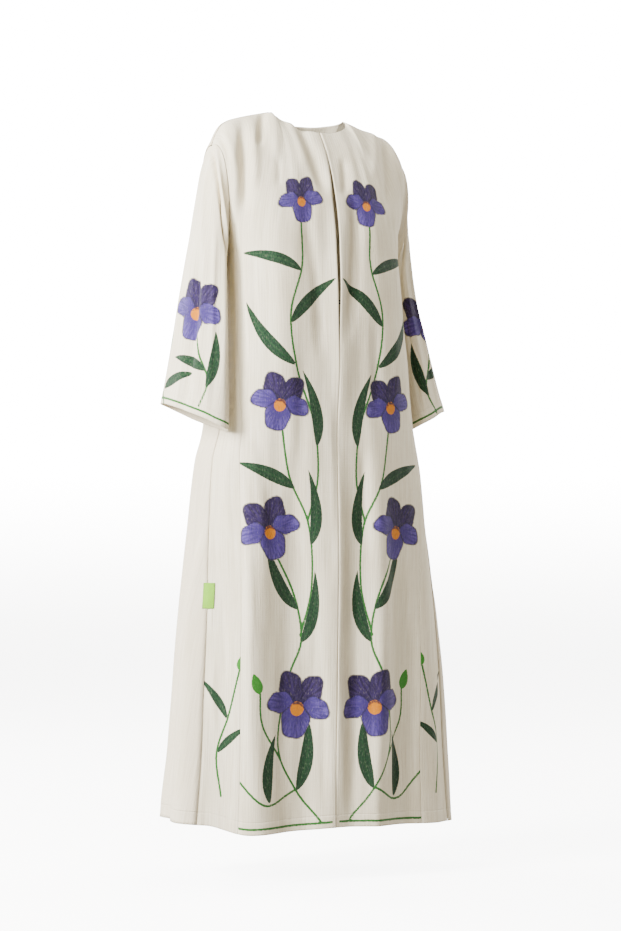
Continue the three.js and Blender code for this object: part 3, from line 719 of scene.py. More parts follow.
def linen(name, printed):
    """Ivory linen with slubs in both directions, a dry sheen and a plain weave."""
    material, tree = new_material(name)
    place = node(tree, "ShaderNodeUVMap", uv_map="flat_cloth").outputs[0]
    parts = node(tree, "ShaderNodeSeparateXYZ", {0: place})
    warp_slub = streaks(tree, place, 420.0, 9.0, 4.0, 1.0)
    weft_slub = streaks(tree, place, 12.0, 460.0, 3.0, 2.0)
    cloud = streaks(tree, place, 14.0, 5.0, 3.0, 4.0)
    fibre = streaks(tree, place, 1500.0, 1500.0, 2.0, 6.0)
    colour = tint(tree, spread(tree, cloud, 0.3, 0.7, 0.0, 1.0), paint(226, 216, 190), paint(234, 226, 203))
    colour = tint(tree, spread(tree, warp_slub, 0.42, 0.72, 0.0, 0.75), colour, paint(203, 192, 168))
    colour = tint(tree, spread(tree, warp_slub, 0.44, 0.28, 0.0, 0.5), colour, paint(243, 238, 226))
    colour = tint(tree, spread(tree, weft_slub, 0.56, 0.76, 0.0, 0.4), colour, paint(207, 196, 174))
    colour = tint(tree, spread(tree, fibre, 0.3, 0.7, 0.0, 0.18), colour, paint(190, 180, 160))
    colour = tint(tree, maths(tree, "MULTIPLY", value_of(tree, "inside"), 0.35), colour, paint(206, 192, 168))
    if printed:
        colour = add_print(tree, place, colour)
    weave = maths(tree, "MULTIPLY", thread_rows(tree, parts.outputs[0]), thread_rows(tree, parts.outputs[1]))
    slub = maths(tree, "ADD", maths(tree, "MULTIPLY", warp_slub, 1.6), weft_slub)
    hem = maths(tree, "SUBTRACT", value_of(tree, "from_hem"), HEM_STITCH_UP)
    hem_line = spread(tree, maths(tree, "ABSOLUTE", hem), 0.0, 2.4, -1.0, 0.0)
    fine = node(tree, "ShaderNodeBump", {"Strength": 0.35, "Distance": 0.0003, "Height": weave})
    middle = node(tree, "ShaderNodeBump", {
        "Strength": 0.5, "Distance": 0.0009, "Height": slub, "Normal": fine.outputs[0],
    })
    sewn = node(tree, "ShaderNodeBump", {
        "Strength": 0.6, "Distance": 0.001, "Height": hem_line, "Normal": middle.outputs[0],
    })
    rough = spread(tree, warp_slub, 0.3, 0.7, 0.78, 0.92)
    surface(tree, Base_Color=colour, Roughness=rough, Normal=sewn.outputs[0],
            Sheen_Weight=0.14, Sheen_Roughness=0.45, Specular_IOR_Level=0.22)
    return material


printed_linen = linen("printed_linen", True)
plain_linen = linen("plain_linen", False)


def sewing_thread(name, first, second):
    """Twisted polyester thread, a tone off the cloth it sews."""
    material, tree = new_material(name)
    twist = speckle(tree, 2600.0, 2.0)
    # Painted highlight and shade: the raised parts of the twist are coloured lighter, its hollows darker.
    colour = tint(tree, twist, first, second)
    bump = node(tree, "ShaderNodeBump", {"Strength": 0.4, "Distance": 0.0002, "Height": twist})
    surface(tree, Base_Color=colour, Normal=bump.outputs[0], Roughness=0.55, Sheen_Weight=0.1)
    return material


ivory_thread = sewing_thread("ivory_thread", paint(214, 206, 190), paint(236, 231, 220))
dark_thread = sewing_thread("dark_thread", paint(70, 74, 60), paint(104, 112, 84))


def stitch_tree():
    """Stitches laid at an even pitch along a line, one small thread lump each."""
    tree = bpy.data.node_groups.new("stitch_run", "GeometryNodeTree")
    sockets = (
        ("Line", "Geometry"), ("Pitch", "Float"), ("Stitch Length", "Float"), ("Thread Width", "Float"),
        ("Seed", "Int"), ("Thread", "Material"),
    )
    for name, kind in sockets:
        tree.interface.new_socket(name, in_out="INPUT", socket_type="NodeSocket" + kind)
    tree.interface.new_socket("Stitches", in_out="OUTPUT", socket_type="NodeSocketGeometry")
    given = node(tree, "NodeGroupInput").outputs
    curve = node(tree, "GeometryNodeMeshToCurve", {"Mesh": given["Line"]})
    points = node(tree, "GeometryNodeCurveToPoints", {
        "Curve": curve.outputs[0], "Length": given["Pitch"],
    }, mode="LENGTH")
    lump = node(tree, "GeometryNodeMeshUVSphere", {"Segments": 6, "Rings": 4, "Radius": 0.5})
    spread_of_lengths = {2: 0.85, 3: 1.12, "Seed": given["Seed"]}
    uneven = node(tree, "FunctionNodeRandomValue", spread_of_lengths, data_type="FLOAT")
    length = maths(tree, "MULTIPLY", given["Stitch Length"], uneven.outputs[1])
    width = given["Thread Width"]
    scale = node(tree, "ShaderNodeCombineXYZ", {0: width, 1: width, 2: length})
    placed = node(tree, "GeometryNodeInstanceOnPoints", {
        "Points": points.outputs["Points"], "Instance": lump.outputs["Mesh"],
        "Rotation": points.outputs["Rotation"], "Scale": scale.outputs[0],
    })
    real = node(tree, "GeometryNodeRealizeInstances", {"Geometry": placed.outputs[0]})
    smooth_faces = node(tree, "GeometryNodeSetShadeSmooth", {"Geometry": real.outputs[0]})
    finished = node(tree, "GeometryNodeSetMaterial", {
        "Geometry": smooth_faces.outputs[0], "Material": given["Thread"],
    })
    node(tree, "NodeGroupOutput", {"Stitches": finished.outputs[0]})
    return tree


stitch_run = stitch_tree()


def sew(name, lines, thread, stitch=2.6, pitch=3.5, width=0.5, seed=1):
    """Lays stitches along lines of points in millimetres and returns them as one plain mesh."""
    mesh = bpy.data.meshes.new(name + "_lines")
    verts, edges = [], []
    for line in lines:
        start = len(verts)
        verts += [tuple(point) for point in np.asarray(line) * MM]
        edges += [(k, k + 1) for k in range(start, len(verts) - 1)]
    mesh.from_pydata(verts, edges, [])
    path = add_object(name + "_lines", mesh)
    modifier = path.modifiers.new("stitches", "NODES")
    modifier.node_group = stitch_run
    given = {
        "Pitch": pitch * MM, "Stitch Length": stitch * MM, "Thread Width": width * MM,
        "Seed": seed, "Thread": thread,
    }
    for item in stitch_run.interface.items_tree:
        if item.in_out == "INPUT" and item.name in given:
            modifier[item.identifier] = given[item.name]
    graph = bpy.context.evaluated_depsgraph_get()
    result = bpy.data.meshes.new_from_object(path.evaluated_get(graph), depsgraph=graph)
    result.name = name
    bpy.data.objects.remove(path)
    return add_object(name, result)


def fit(piece, replaced):
    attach(piece, "root")
    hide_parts(replaced)


STITCH_LIFT = 0.12
HEM_REACH = 200.0


def hem_stitches(form, normal, flat_v):
    return line_across(form + normal * STITCH_LIFT, flat_v, flat_v[-1] - HEM_STITCH_UP)


def sewn_panel(name, cloth, form, normal, flat_u, flat_v, values, flip, lines, seed, sheet, **shape):
    values["from_hem"] = np.minimum(flat_v[-1][None] - flat_v, HEM_REACH)
    panel = cloth_mesh(f"{name}_cloth", form, normal, flat_u, flat_v, values, flip, **shape)
    panel.data.materials.append(cloth)
    fit(panel, name)
    stitches = sew(f"{name}_stitches", lines, ivory_thread, seed=seed)
    fit(stitches, name)


FRONT_COLUMNS = 84
FRONT_FLAT = (0.25, 1.50)
FRONT_AREA = 0.32
FRONT_STITCH_IN = 4.0
NECK_STITCH_DOWN = 5.0
EDGE_FROM_MIDDLE = 0.06
CLOTH_FROM_MIDDLE = 0.08
# Creases seen from the camera: from and to in the picture, how far they stand out in
# millimetres, and their width in the picture.
SEEN_CREASES = (
    (241, 112, 242, 226, -13, 5.6), (251, 116, 253, 196, 5.5, 5), (232, 130, 233, 214, 5, 4.2),
    (216, 118, 231, 208, -9, 4.2), (220, 124, 236, 170, 2.5, 3.4),
    (277, 154, 278, 190, -2.6, 3.4), (262, 100, 258, 150, -7.5, 3.6), (270, 104, 276, 160, 3.5, 5),
    (290, 110, 328, 200, -7.5, 5.5), (283, 108, 308, 176, 4, 5.5), (318, 136, 332, 200, 2.4, 4.5),
    (270, 150, 280, 440, 7, 15), (306, 204, 322, 372, -6, 6.5), (335, 190, 339, 440, 8, 8.5),
    (342, 154, 344, 200, -4, 4), (356, 180, 346, 350, -13, 6.5), (347, 205, 350, 262, 2, 4),
    (382, 130, 388, 214, -8.5, 5), (371, 126, 374, 180, 4, 4.5), (398, 150, 400, 205, 2, 4),
    (252, 232, 253, 350, -3, 3.6), (262, 300, 258, 420, 2, 6), (290, 330, 292, 470, 1.8, 6),
    (372, 310, 374, 430, -3, 5.5), (392, 300, 394, 420, 2.4, 5.5), (330, 400, 331, 560, 1.6, 4),
    (254, 420, 272, 560, -3.5, 7), (290, 440, 320, 850, -12, 15), (247, 440, 247, 830, 4, 5.5),
    (337, 430, 337, 840, 5.5, 7.5), (350, 500, 350, 840, -4, 5.5), (376, 430, 382, 830, 6.5, 8.5),
    (363, 440, 360, 560, -3.5, 5), (406, 560, 410, 830, -4.5, 7.5), (427, 600, 430, 826, 4.5, 6),
    (308, 520, 306, 700, 2.6, 6), (322, 640, 324, 820, -2.2, 5), (393, 700, 392, 830, -2.5, 5),
)

for side, who in ((-1, "right"), (1, "left")):
    s = np.linspace(0, 1, FRONT_COLUMNS + 1)
    form = panel_form(side, s, True)
    form[..., 0] += side * front_gap_at(form[..., 2]) / 2 * (1 - smooth(s / 0.3))[None]
    normal = outward(form, side < 0)
    flat_u = across_lengths(form)
    flat_v = down_lengths(form, YOKE_ROWS + UNDERARM_ROWS)
    hem_v = flat_v[-1][None]
    seen = smooth((normal @ np.array(towards_camera) - 0.05) / 0.3)
    push = crease_push(*picture_place(form), SEEN_CREASES) * seen
    push += cloth_ripple(flat_u, flat_v, 11 + side)
    outer_gap = flat_u[:, -1:] - flat_u
    push += seam_push(outer_gap, flat_v, 21 + side)
    shoulder_gap = np.where((s > NECK_SHARE)[None], flat_v - flat_v[:1], NO_SEAM_NEAR)
    push += SHOULDER_SEAM_SHARE * seam_push(shoulder_gap, flat_u, 31 + side)
    push += hem_push(hem_v - flat_v)
    push = faded(push, np.minimum(outer_gap, shoulder_gap))
    form = form + normal * push[..., None]
    for columns, clear in ((slice(0, 1), EDGE_FROM_MIDDLE), (slice(1, None), CLOTH_FROM_MIDDLE)):
        x = form[:, columns, 0]
        form[:, columns, 0] = np.where(side * x < clear, side * clear, x)
    normal = outward(form, side < 0)
    lifted = form + normal * STITCH_LIFT
    edge_line = line_down(lifted, flat_u, FRONT_STITCH_IN)
    neck = slice(0, int(NECK_SHARE * FRONT_COLUMNS))
    neck_line = line_across(lifted[:, neck], flat_v[:, neck], flat_v[0, neck] + NECK_STITCH_DOWN)
    sewn_panel(
        f"front_{who}", printed_linen, form, normal, flat_u, flat_v, front_print(flat_u, flat_v, hem_v),
        side < 0, [edge_line[3:-2], hem_stitches(form, normal, flat_v)[2:-2], neck_line[1:]], 40 + side,
        dict(flat=FRONT_FLAT, rests_on=["back"], area=FRONT_AREA),
    )


# Side gores
# A tapered panel of the same linen under each sleeve, from the underarm to the hem. It is sewn
# to the front along one long edge and to the back along the other.
GORE_COLUMNS = 44
GORE_FLAT = (0.12, 1.24)
GORE_AREA = 0.093
GORE_CREASES = (
    (40, 980, 30, 1190, -3, 9), (58, 1120, 52, 1300, 2.6, 9), (26, 700, 24, 900, 1.8, 8),
)


def gore_print(u, v, hem_v):
    motif = empty_print(u.shape)
    add_stem(motif, u, v, ((2, 1150), (26, 1240), (52, 1320), (40, hem_v.min() - 60)), 4.4)
    add_leaf(motif, u, v, 30, 1250, 96, 17, -22, 0.26)
    add_leaf(motif, u, v, 50, 1318, 84, 16, 34, -0.30)
    add_bud(motif, u, v, 3, 1152, 34, 14)
    return motif


for side, who in ((-1, "right"), (1, "left")):
    form = under_form(side, np.linspace(0, 1, GORE_COLUMNS + 1), True)
    normal = outward(form, side < 0)
    flat_u = across_lengths(form)
    flat_v = down_lengths(form, UNDERARM_ROWS)
    hem_v = flat_v[-1][None]
    push = cloth_ripple(flat_u, flat_v, 51 + side)
    edge_gap = np.minimum(flat_u, flat_u[:, -1:] - flat_u)
    push += seam_push(edge_gap, flat_v, 61 + side)
    push += hem_push(hem_v - flat_v)
    push += crease_push(flat_u, flat_v, GORE_CREASES)
    form = form + normal * faded(push, edge_gap)[..., None]
    normal = outward(form, side < 0)
    sewn_panel(
        f"side_gore_{who}", printed_linen, form, normal, flat_u, flat_v, gore_print(flat_u, flat_v, hem_v),
        side < 0, [hem_stitches(form, normal, flat_v)[1:-1]], 70 + side,
        dict(flat=GORE_FLAT, rests_on=[f"front_{who}", "back"], area=GORE_AREA),
    )


# Back
# One wide panel of plain linen, from the back of the neck and the shoulder seams to the hem. It
# reaches round under each arm to the side seams, where the gores are sewn on.
BACK_COLUMNS = 60
UNDER_COLUMNS = 15
NECK_STITCHED_COLUMNS = 24
BACK_FLAT = (1.02, 1.50)
BACK_AREA = 1.07
BACK_CREASES = (
    (-150, 140, -124, 470, -9, 11), (140, 150, 114, 440, -8, 10), (-72, 190, -58, 520, 5, 14),
    (50, 170, 62, 560, 5, 13), (-30, 260, -20, 760, -6, 13), (98, 400, 108, 820, -5.5, 12),
    (-116, 500, -132, 940, 6, 14), (-200, 640, -226, 1400, -8, 18), (188, 600, 212, 1420, 7.5, 17),
    (18, 760, 30, 1440, 6.5, 18), (-84, 820, -104, 1440, -9, 19), (128, 860, 150, 1440, -8.5, 18),
    (262, 780, 300, 1440, -6.5, 16), (-290, 820, -330, 1440, 6.5, 16), (70, 980, 84, 1440, 4, 13),
    (-36, 1040, -42, 1440, 4, 13), (-160, 1100, -172, 1440, 4, 12), (390, 760, 420, 1440, 5, 15),
    (-390, 780, -420, 1440, -5, 15),
)

s = np.linspace(0, 1, BACK_COLUMNS + 1)
right_half = panel_form(-1, s, False)[:, ::-1]
left_half = panel_form(1, s, False)
middle = np.concatenate([right_half, left_half[:, 1:]], axis=1)[::2]
under_s = np.linspace(0, 1, UNDER_COLUMNS + 1)
right_under = under_form(-1, under_s, False)[::2, ::-1]
left_under = under_form(1, under_s, False)[::2]
missing = YOKE_ROWS // 2


def with_missing_rows(form):
    return np.concatenate([np.repeat(form[:1], missing, axis=0), form])


form = np.concatenate([
    with_missing_rows(right_under)[:, :-1], middle, with_missing_rows(left_under)[:, 1:],
], axis=1)
normal = np.concatenate([
    with_missing_rows(outward(right_under, False))[:, :-1], outward(middle, False),
    with_missing_rows(outward(left_under, False))[:, 1:],
], axis=1)
flat_u = across_lengths(form)
flat_u = flat_u - flat_u[:, UNDER_COLUMNS + BACK_COLUMNS][:, None]
flat_v = down_lengths(form, (YOKE_ROWS + UNDERARM_ROWS) // 2)
push = crease_push(flat_u, flat_v, BACK_CREASES) + cloth_ripple(flat_u, flat_v, 81)
edge_gap = np.minimum(flat_u - flat_u[:, :1], flat_u[:, -1:] - flat_u)
edge_gap[:missing] = NO_SEAM_NEAR
column = np.arange(form.shape[1]) - UNDER_COLUMNS
shoulder = (np.abs(column - BACK_COLUMNS) > NECK_SHARE * BACK_COLUMNS)
shoulder_gap = np.where(shoulder[None], flat_v - flat_v[:1], NO_SEAM_NEAR)
arm_gap = np.full(form.shape[:2], NO_SEAM_NEAR)
arm_gap[:missing + 1] = np.minimum(
    np.abs(flat_u - flat_u[:, UNDER_COLUMNS][:, None]),
    np.abs(flat_u - flat_u[:, UNDER_COLUMNS + 2 * BACK_COLUMNS][:, None]),
)[:missing + 1]
push += seam_push(edge_gap, flat_v, 91) + SHOULDER_SEAM_SHARE * seam_push(shoulder_gap, flat_u, 92)
push += seam_push(arm_gap, flat_v, 93)
push += hem_push(flat_v[-1][None] - flat_v)
push = faded(push, np.minimum(np.minimum(edge_gap, shoulder_gap), arm_gap))
form = form + normal * push[..., None]
keep = np.ones((form.shape[0] - 1, form.shape[1] - 1), dtype=bool)
keep[:missing, :UNDER_COLUMNS] = False
keep[:missing, -UNDER_COLUMNS:] = False
lifted = form + normal * STITCH_LIFT
middle_column = UNDER_COLUMNS + BACK_COLUMNS
neck = slice(middle_column - NECK_STITCHED_COLUMNS, middle_column + NECK_STITCHED_COLUMNS + 1)
neck_line = line_across(lifted[:, neck], flat_v[:, neck], flat_v[0, neck] + NECK_STITCH_DOWN)
sewn_panel(
    "back", plain_linen, form, normal, flat_u, flat_v, {}, False,
    [hem_stitches(form, normal, flat_v)[1:-1], neck_line], 95,
    dict(flat=BACK_FLAT, rests_on=["front_right", "front_left"], area=BACK_AREA), keep=keep,
)


# Sleeves
# Wide linen tubes set to the dropped armholes, with a turned hem at the cuff. Each is one piece
# joined by a seam under the arm.
SLEEVE_SECTIONS = {
    -1: (
        ARMHOLE[-1], (229, -118, 198, -294, -8, 66, 0, 0), (240, -172, 200, -308, -12, 66, 2, 0),
        (252, -232, 203, -330, -17, 66, 4, 0), (264, -300, 206, -366, -22, 68, 7, 1),
        (276, -384, 209, -422, -27, 70, 11, 4), (287, -469, 213, -500, -32, 74, 15, 9),
        (300, -551, 218, -588, -36, 77, 19, 15), (312, -620, 224, -660, -40, 80, 22, 21),
    ),
    1: (
        ARMHOLE[1], (225, -120, 189, -294, 16, 63, 0, 0), (233, -172, 191, -308, 21, 64, 1, 0),
        (241, -232, 194, -330, 26, 65, 2, 0), (250, -301, 197, -367, 27, 67, 4, -1),
        (265, -382.5, 202, -422.5, 24, 69, 6, -2.5), (286, -464, 210, -494, 18, 73, 9, -4),
        (307, -551.5, 220, -587.5, 11, 77, 12, -5.5), (323, -615, 230, -663, 5, 80, 14, -7),
    ),
}
SLEEVE_FOLDS = (
    (62, 0.3, -4, 20), (112, 0.2, 3, 18), (215, 0.35, -4, 22), (300, 0.4, 4, 20),
)
SLEEVE_COLUMNS_ROUND = 132
SLEEVE_ROWS = 150
SLEEVE_FLAT = (0.44, 0.60)
SLEEVE_AREA = 0.163
SLEEVE_PRINT_SHIFT = {-1: 0.0, 1: 28.0}
CUFF_SQUARENESS = 2.1
# Creases down the sleeve: from and to as degrees round and share of the length, then height in
# millimetres and width in degrees or hundredths of the length.
SLEEVE_CREASES = (
    (-14, -0.02, 126, 0.46, -12, 2.2), (0, -0.06, 136, 0.39, 5, 2.8), (2, 0.12, 30, 0.56, 4, 5),
    (98, 0.30, 92, 0.95, 3.2, 8), (22, 0.40, 12, 1.10, -9, 8), (60, 0.30, 56, 1.05, 4.5, 8),
    (-35, 0.1, -28, 0.62, -3, 11), (-70, 0.3, -76, 0.98, 2.8, 11), (130, 0.3, 124, 0.98, -2.8, 10),
    (-110, 0.15, -104, 0.8, -3, 11), (-30, 0.50, -34, 1.05, 3.5, 12), (118, 0.34, 110, 1.04, -6.5, 5),
    (-8, 0, -4, 0.4, 2.2, 9), (-140, 0.4, -134, 0.98, 2.6, 10),
)


def sleeve_print(u, v, cuff_v):
    motif = empty_print(u.shape)
    cuff = float(cuff_v.mean())
    add_stem(motif, u, v, ((66, cuff - 20), (78, 575), (50, 520), (32, 460)), 4.8)
    add_leaf(motif, u, v, 76, 590, 112, 24, -20, -0.30)
    add_leaf(motif, u, v, 70, 555, 96, 22, 58, -0.26)
    add_stem(motif, u, v, ((-40, cuff - 24), (-62, 560), (-50, 500)), 4.4)
    add_leaf(motif, u, v, -46, 592, 88, 22, -52, 0.28)
    add_bud(motif, u, v, -51, 508, 42, 10)
    add_flower(motif, u, v, 28, 430, 116, -14)
    border = BORDER_HALF_WIDTH - np.abs(cuff_v - v - BORDER_UP)
    motif["stem"] = np.maximum(motif["stem"], border)
    return motif


for side, who in ((-1, "right"), (1, "left")):
    degrees = SIDE_CORNER - 360 + np.linspace(0, 360, SLEEVE_COLUMNS_ROUND + 1)
    t = np.linspace(0, 1, SLEEVE_ROWS + 1)[:, None]
    numbered = tuple((*row, index) for index, row in enumerate(SLEEVE_SECTIONS[side]))
    columns = (*SLEEVE_COLUMNS, "row")
    row = [table_curve(numbered, columns, "row", name)(t * (len(numbered) - 1)) for name in SLEEVE_COLUMNS]
    square = mix(ARMHOLE_SQUARENESS, CUFF_SQUARENESS, smooth(t * 2))
    form = sleeve_section(side, row, degrees[None], square)
    across = np.abs(row[0] - row[2]) / 2
    out_x, out_y = np.cos(np.radians(degrees))[None] / across, -np.sin(np.radians(degrees))[None] / row[5]
    out_length = np.hypot(out_x, out_y)
    fold = np.zeros(form.shape[:2])
    for at, start, depth, width in SLEEVE_FOLDS:
        fold += depth * smooth((t - start) / 0.4) * np.exp(-(wrap(degrees[None] - at) / width) ** 2)
    form[..., 0] += side * out_x / out_length * fold
    form[..., 1] += out_y / out_length * fold
    normal = outward(form, side > 0)
    seam_normal = normal[:, 0] + normal[:, -1]
    normal[:, 0] = normal[:, -1] = seam_normal / np.linalg.norm(seam_normal, axis=-1, keepdims=True)
    flat_u = across_lengths(form)
    zero = np.array([np.interp(0.0, degrees, flat_u[i]) for i in range(flat_u.shape[0])])
    flat_u = flat_u - zero[:, None]
    flat_v = down_lengths(form, 0) + YOKE_END - form[0, :, 2][None]
    cuff_v = flat_v[-1][None]
    around = np.broadcast_to(degrees[None], form.shape[:2])
    share = np.broadcast_to(t * 100, form.shape[:2])
    creases = [(a, b * 100, c, d * 100, *rest) for a, b, c, d, *rest in SLEEVE_CREASES]
    push = sum(crease_push(around + turn, share, creases) for turn in (-360, 0, 360))
    push += cloth_ripple(70 * np.sin(np.radians(around)) + side * 30, flat_v, 101 + side)
    push += seam_push(flat_v, flat_u, 111 + side)
    push += hem_push(cuff_v - flat_v)
    push *= smooth(flat_v / 16.0) * 0.85 + 0.15
    form = form + normal * push[..., None]
    sewn_panel(
        f"sleeve_{who}", printed_linen, form, normal, flat_u, flat_v,
        sleeve_print(flat_u - SLEEVE_PRINT_SHIFT[side], flat_v, cuff_v), side > 0,
        [hem_stitches(form, normal, flat_v)], 120 + side,
        dict(flat=SLEEVE_FLAT, rests_on=[f"front_{who}", "back"], area=SLEEVE_AREA), closed=True,
    )


# Side label
# A small blank tape of lime-green woven cloth, sewn flat over the garment's right side seam by
# its corners, so that its middle bows a little.
LABEL_TOP = -975.0
LABEL_BOTTOM = -1027.0
LABEL_ON_GORE = 16.0
LABEL_ON_BACK = 9.0
LABEL_THICKNESS = 0.7
LABEL_COLUMNS = 18
LABEL_ROWS = 30
LABEL_TILT = 0.035
LABEL_LIFT = 1.3
LABEL_BOW = 1.5
LABEL_STITCH_LIFT = 0.2
levels = np.linspace(LABEL_TOP, LABEL_BOTTOM, LABEL_ROWS + 1)[:, None]
reach = np.linspace(LABEL_ON_GORE, -LABEL_ON_BACK, LABEL_COLUMNS + 1)[None]
side_line = tube(-1, body_curve["side"](levels), levels)
near_line = tube(-1, body_curve["side"](levels) - 1.0, levels)
degree = np.linalg.norm(side_line - near_line, axis=-1)
turned_reach = reach + (levels - LABEL_TOP) * LABEL_TILT
angle = body_curve["side"](levels) - turned_reach / degree
form = tube(-1, angle, np.broadcast_to(levels, angle.shape))
normal = outward(form, True)
share_across = (reach - reach.min()) / (reach.max() - reach.min())
share_down = (LABEL_TOP - levels) / (LABEL_TOP - LABEL_BOTTOM)
bow = np.sin(np.pi * share_across) * np.sin(np.pi * share_down)
lift = LABEL_LIFT + LABEL_BOW * bow + 0.25 * np.sin(7 * share_down + 4 * share_across)
form = form + normal * lift[..., None]
flat_u, flat_v = across_lengths(form), down_lengths(form, 0)
label = cloth_mesh("side_label_tape", form, normal, flat_u, flat_v, {}, True, wall=LABEL_THICKNESS)


def woven_tape():
    """Fine ribbed tape with a slightly darker woven edge, painted shade in the grooves between its ribs, and
    a little fading.
    """
    material, tree = new_material("lime_tape")
    place = node(tree, "ShaderNodeUVMap", uv_map="flat_cloth").outputs[0]
    parts = node(tree, "ShaderNodeSeparateXYZ", {0: place})
    cloud = streaks(tree, place, 60.0, 40.0, 3.0, 2.0)
    rib = maths(tree, "SINE", maths(tree, "MULTIPLY", parts.outputs[1], 2 * math.pi / 0.0009))
    edge = maths(tree, "ABSOLUTE", maths(tree, "SUBTRACT", parts.outputs[0], 0.0125))
    woven_edge = spread(tree, edge, 0.0098, 0.0112, 0.0, 0.5)
    colour = tint(tree, cloud, paint(112, 176, 2), paint(132, 190, 14))
    # Painted shade: the grooves between the ribs are coloured a little darker.
    colour = tint(tree, spread(tree, rib, -1.0, 1.0, 0.25, 0.0), colour, paint(88, 142, 8))
    colour = tint(tree, woven_edge, colour, paint(104, 152, 40))
    bump = node(tree, "ShaderNodeBump", {"Strength": 0.5, "Distance": 0.0002, "Height": rib})
    surface(tree, Base_Color=colour, Normal=bump.outputs[0], Roughness=0.7, Sheen_Weight=0.15)
    return material


label.data.materials.append(woven_tape())
fit(label, "side_label")
corner_lines = []
for row_at, down in ((1, 3), (-2, -3)):
    for column_at, along in ((1, 4), (-2, -4)):
        raised = normal[row_at, column_at] * LABEL_STITCH_LIFT
        start = form[row_at, column_at] + raised
        corner_lines.append([start, form[row_at, column_at + along] + raised])
        corner_lines.append([start, form[row_at + down, column_at] + raised])
label_stitches = sew(
    "side_label_stitches", corner_lines, dark_thread, stitch=2.0, pitch=2.4, width=0.6, seed=7,
)
fit(label_stitches, "side_label")


# Hook and eye
# A bent wire hook sewn behind the right front's edge, which catches a wire eye behind the left
# one. Both are dark lacquered wire; the hook has one sewing loop and the eye two.
HOOK_LEVEL = -405.0
WIRE_RADIUS = 0.7
WIRE_CLEARANCE = 0.45
HOOK_REACH = 11.0
EYE_HALF_HEIGHT = 2.6
LOOP_RADIUS = 1.7
SOLID_WALL = 2.0
BEHIND_WALL = 0.4
front_face = float(-body_curve["front"](HOOK_LEVEL))
fold_here = float(fold_push(np.array(0.0), np.array(HOOK_LEVEL)))
seat = front_face - fold_here + SOLID_WALL + BEHIND_WALL + WIRE_RADIUS
turn = 2 * WIRE_RADIUS + WIRE_CLEARANCE


def sewing_loop(x, z, direction):
    """A small ring at the end of the wire, for the thread that holds it."""
    angles = np.radians(np.linspace(0, 320, 9))
    return [
        (x + direction * LOOP_RADIUS * math.sin(a), seat, z + LOOP_RADIUS * (1 - math.cos(a))) for a in angles
    ]


def bent_wire(name, points):
    curve = bpy.data.curves.new(name, "CURVE")
    curve.dimensions = "3D"
    curve.bevel_depth = WIRE_RADIUS * MM
    curve.bevel_resolution = 3
    curve.use_fill_caps = True
    spline = curve.splines.new("NURBS")
    spline.points.add(len(points) - 1)
    spline.order_u = 3
    spline.use_endpoint_u = True
    spline.resolution_u = 6
    for made, point in zip(spline.points, points):
        made.co = (*(value * MM for value in point), 1.0)
    source = add_object(name + "_curve", curve)
    graph = bpy.context.evaluated_depsgraph_get()
    mesh = bpy.data.meshes.new_from_object(source.evaluated_get(graph), depsgraph=graph)
    bpy.data.objects.remove(source)
    mesh.polygons.foreach_set("use_smooth", np.ones(len(mesh.polygons), dtype=bool))
    return add_object(name, mesh)


def lacquered_wire():
    """Dark lacquer over steel, rubbed through to the metal in fine spots."""
    material, tree = new_material("dark_wire")
    spots = speckle(tree, 900.0, 4.0)
    rubbed = spread(tree, spots, 0.56, 0.68, 0.0, 1.0)
    colour = tint(tree, rubbed, paint(46, 42, 40), paint(150, 144, 136))
    rough = spread(tree, spots, 0.3, 0.7, 0.28, 0.5)
    bump = node(tree, "ShaderNodeBump", {"Strength": 0.2, "Distance": 0.0001, "Height": spots})
    surface(tree, Base_Color=colour, Metallic=0.85, Roughness=rough, Normal=bump.outputs[0])
    return material


dark_wire = lacquered_wire()
hook_path = sewing_loop(-HOOK_REACH, HOOK_LEVEL + 1.0, -1)[::-1] + [
    (-HOOK_REACH + 2, seat, HOOK_LEVEL + 0.6), (-4, seat + 0.6, HOOK_LEVEL),
    (-1, seat + turn, HOOK_LEVEL), (turn * 0.75, seat + turn * 0.72, HOOK_LEVEL),
    (turn, seat, HOOK_LEVEL), (turn * 0.7, seat - turn * 0.75, HOOK_LEVEL),
    (-0.6, seat - turn, HOOK_LEVEL),
]
top, bottom = HOOK_LEVEL + EYE_HALF_HEIGHT, HOOK_LEVEL - EYE_HALF_HEIGHT
eye_path = sewing_loop(HOOK_REACH, top, 1)[::-1] + [
    (4, seat, top), (0.8, seat, top - 0.5), (0, seat, HOOK_LEVEL + 1), (0, seat, HOOK_LEVEL - 1),
    (0.8, seat, bottom + 0.5), (4, seat, bottom),
] + [(x, y, 2 * bottom - z) for x, y, z in sewing_loop(HOOK_REACH, bottom, 1)]
for name, path in (("chest_hook", hook_path), ("chest_eye", eye_path)):
    wire = bent_wire(name + "_wire", path)
    wire.data.materials.append(dark_wire)
    fit(wire, name)


# Studio
# A wide, pale round floor that sweeps up into a white wall all round, a large soft light from the
# left, a weaker one from the front and soft lights behind.
FLOOR_LEVEL = -1.58
FLOOR_RADIUS = 8.0
SWEEP_RADIUS = 2.0
WALL_HEIGHT = 8.0
SWEEP_STEPS = 16
ROUND_STEPS = 96
FLOOR_RINGS = (0.6, 2.0, 4.5)
FLOOR_GLOW = 7.0
WALL_GLOW = 18.0
GLOW_RISE = 1.6


def studio_paper():
    material, tree = new_material("studio_paper")
    colour = tint(tree, speckle(tree, 1.2, 2.0), (0.86, 0.86, 0.86, 1.0), (0.89, 0.89, 0.89, 1.0))
    place = node(tree, "ShaderNodeTexCoord").outputs["Object"]
    height = node(tree, "ShaderNodeSeparateXYZ", {0: place}).outputs[2]
    glow = spread(tree, height, FLOOR_LEVEL, FLOOR_LEVEL + GLOW_RISE, FLOOR_GLOW, WALL_GLOW)
    surface(tree, Base_Color=colour, Roughness=0.9,
            Emission_Color=(1.0, 1.0, 1.0, 1.0), Emission_Strength=glow)
    return material


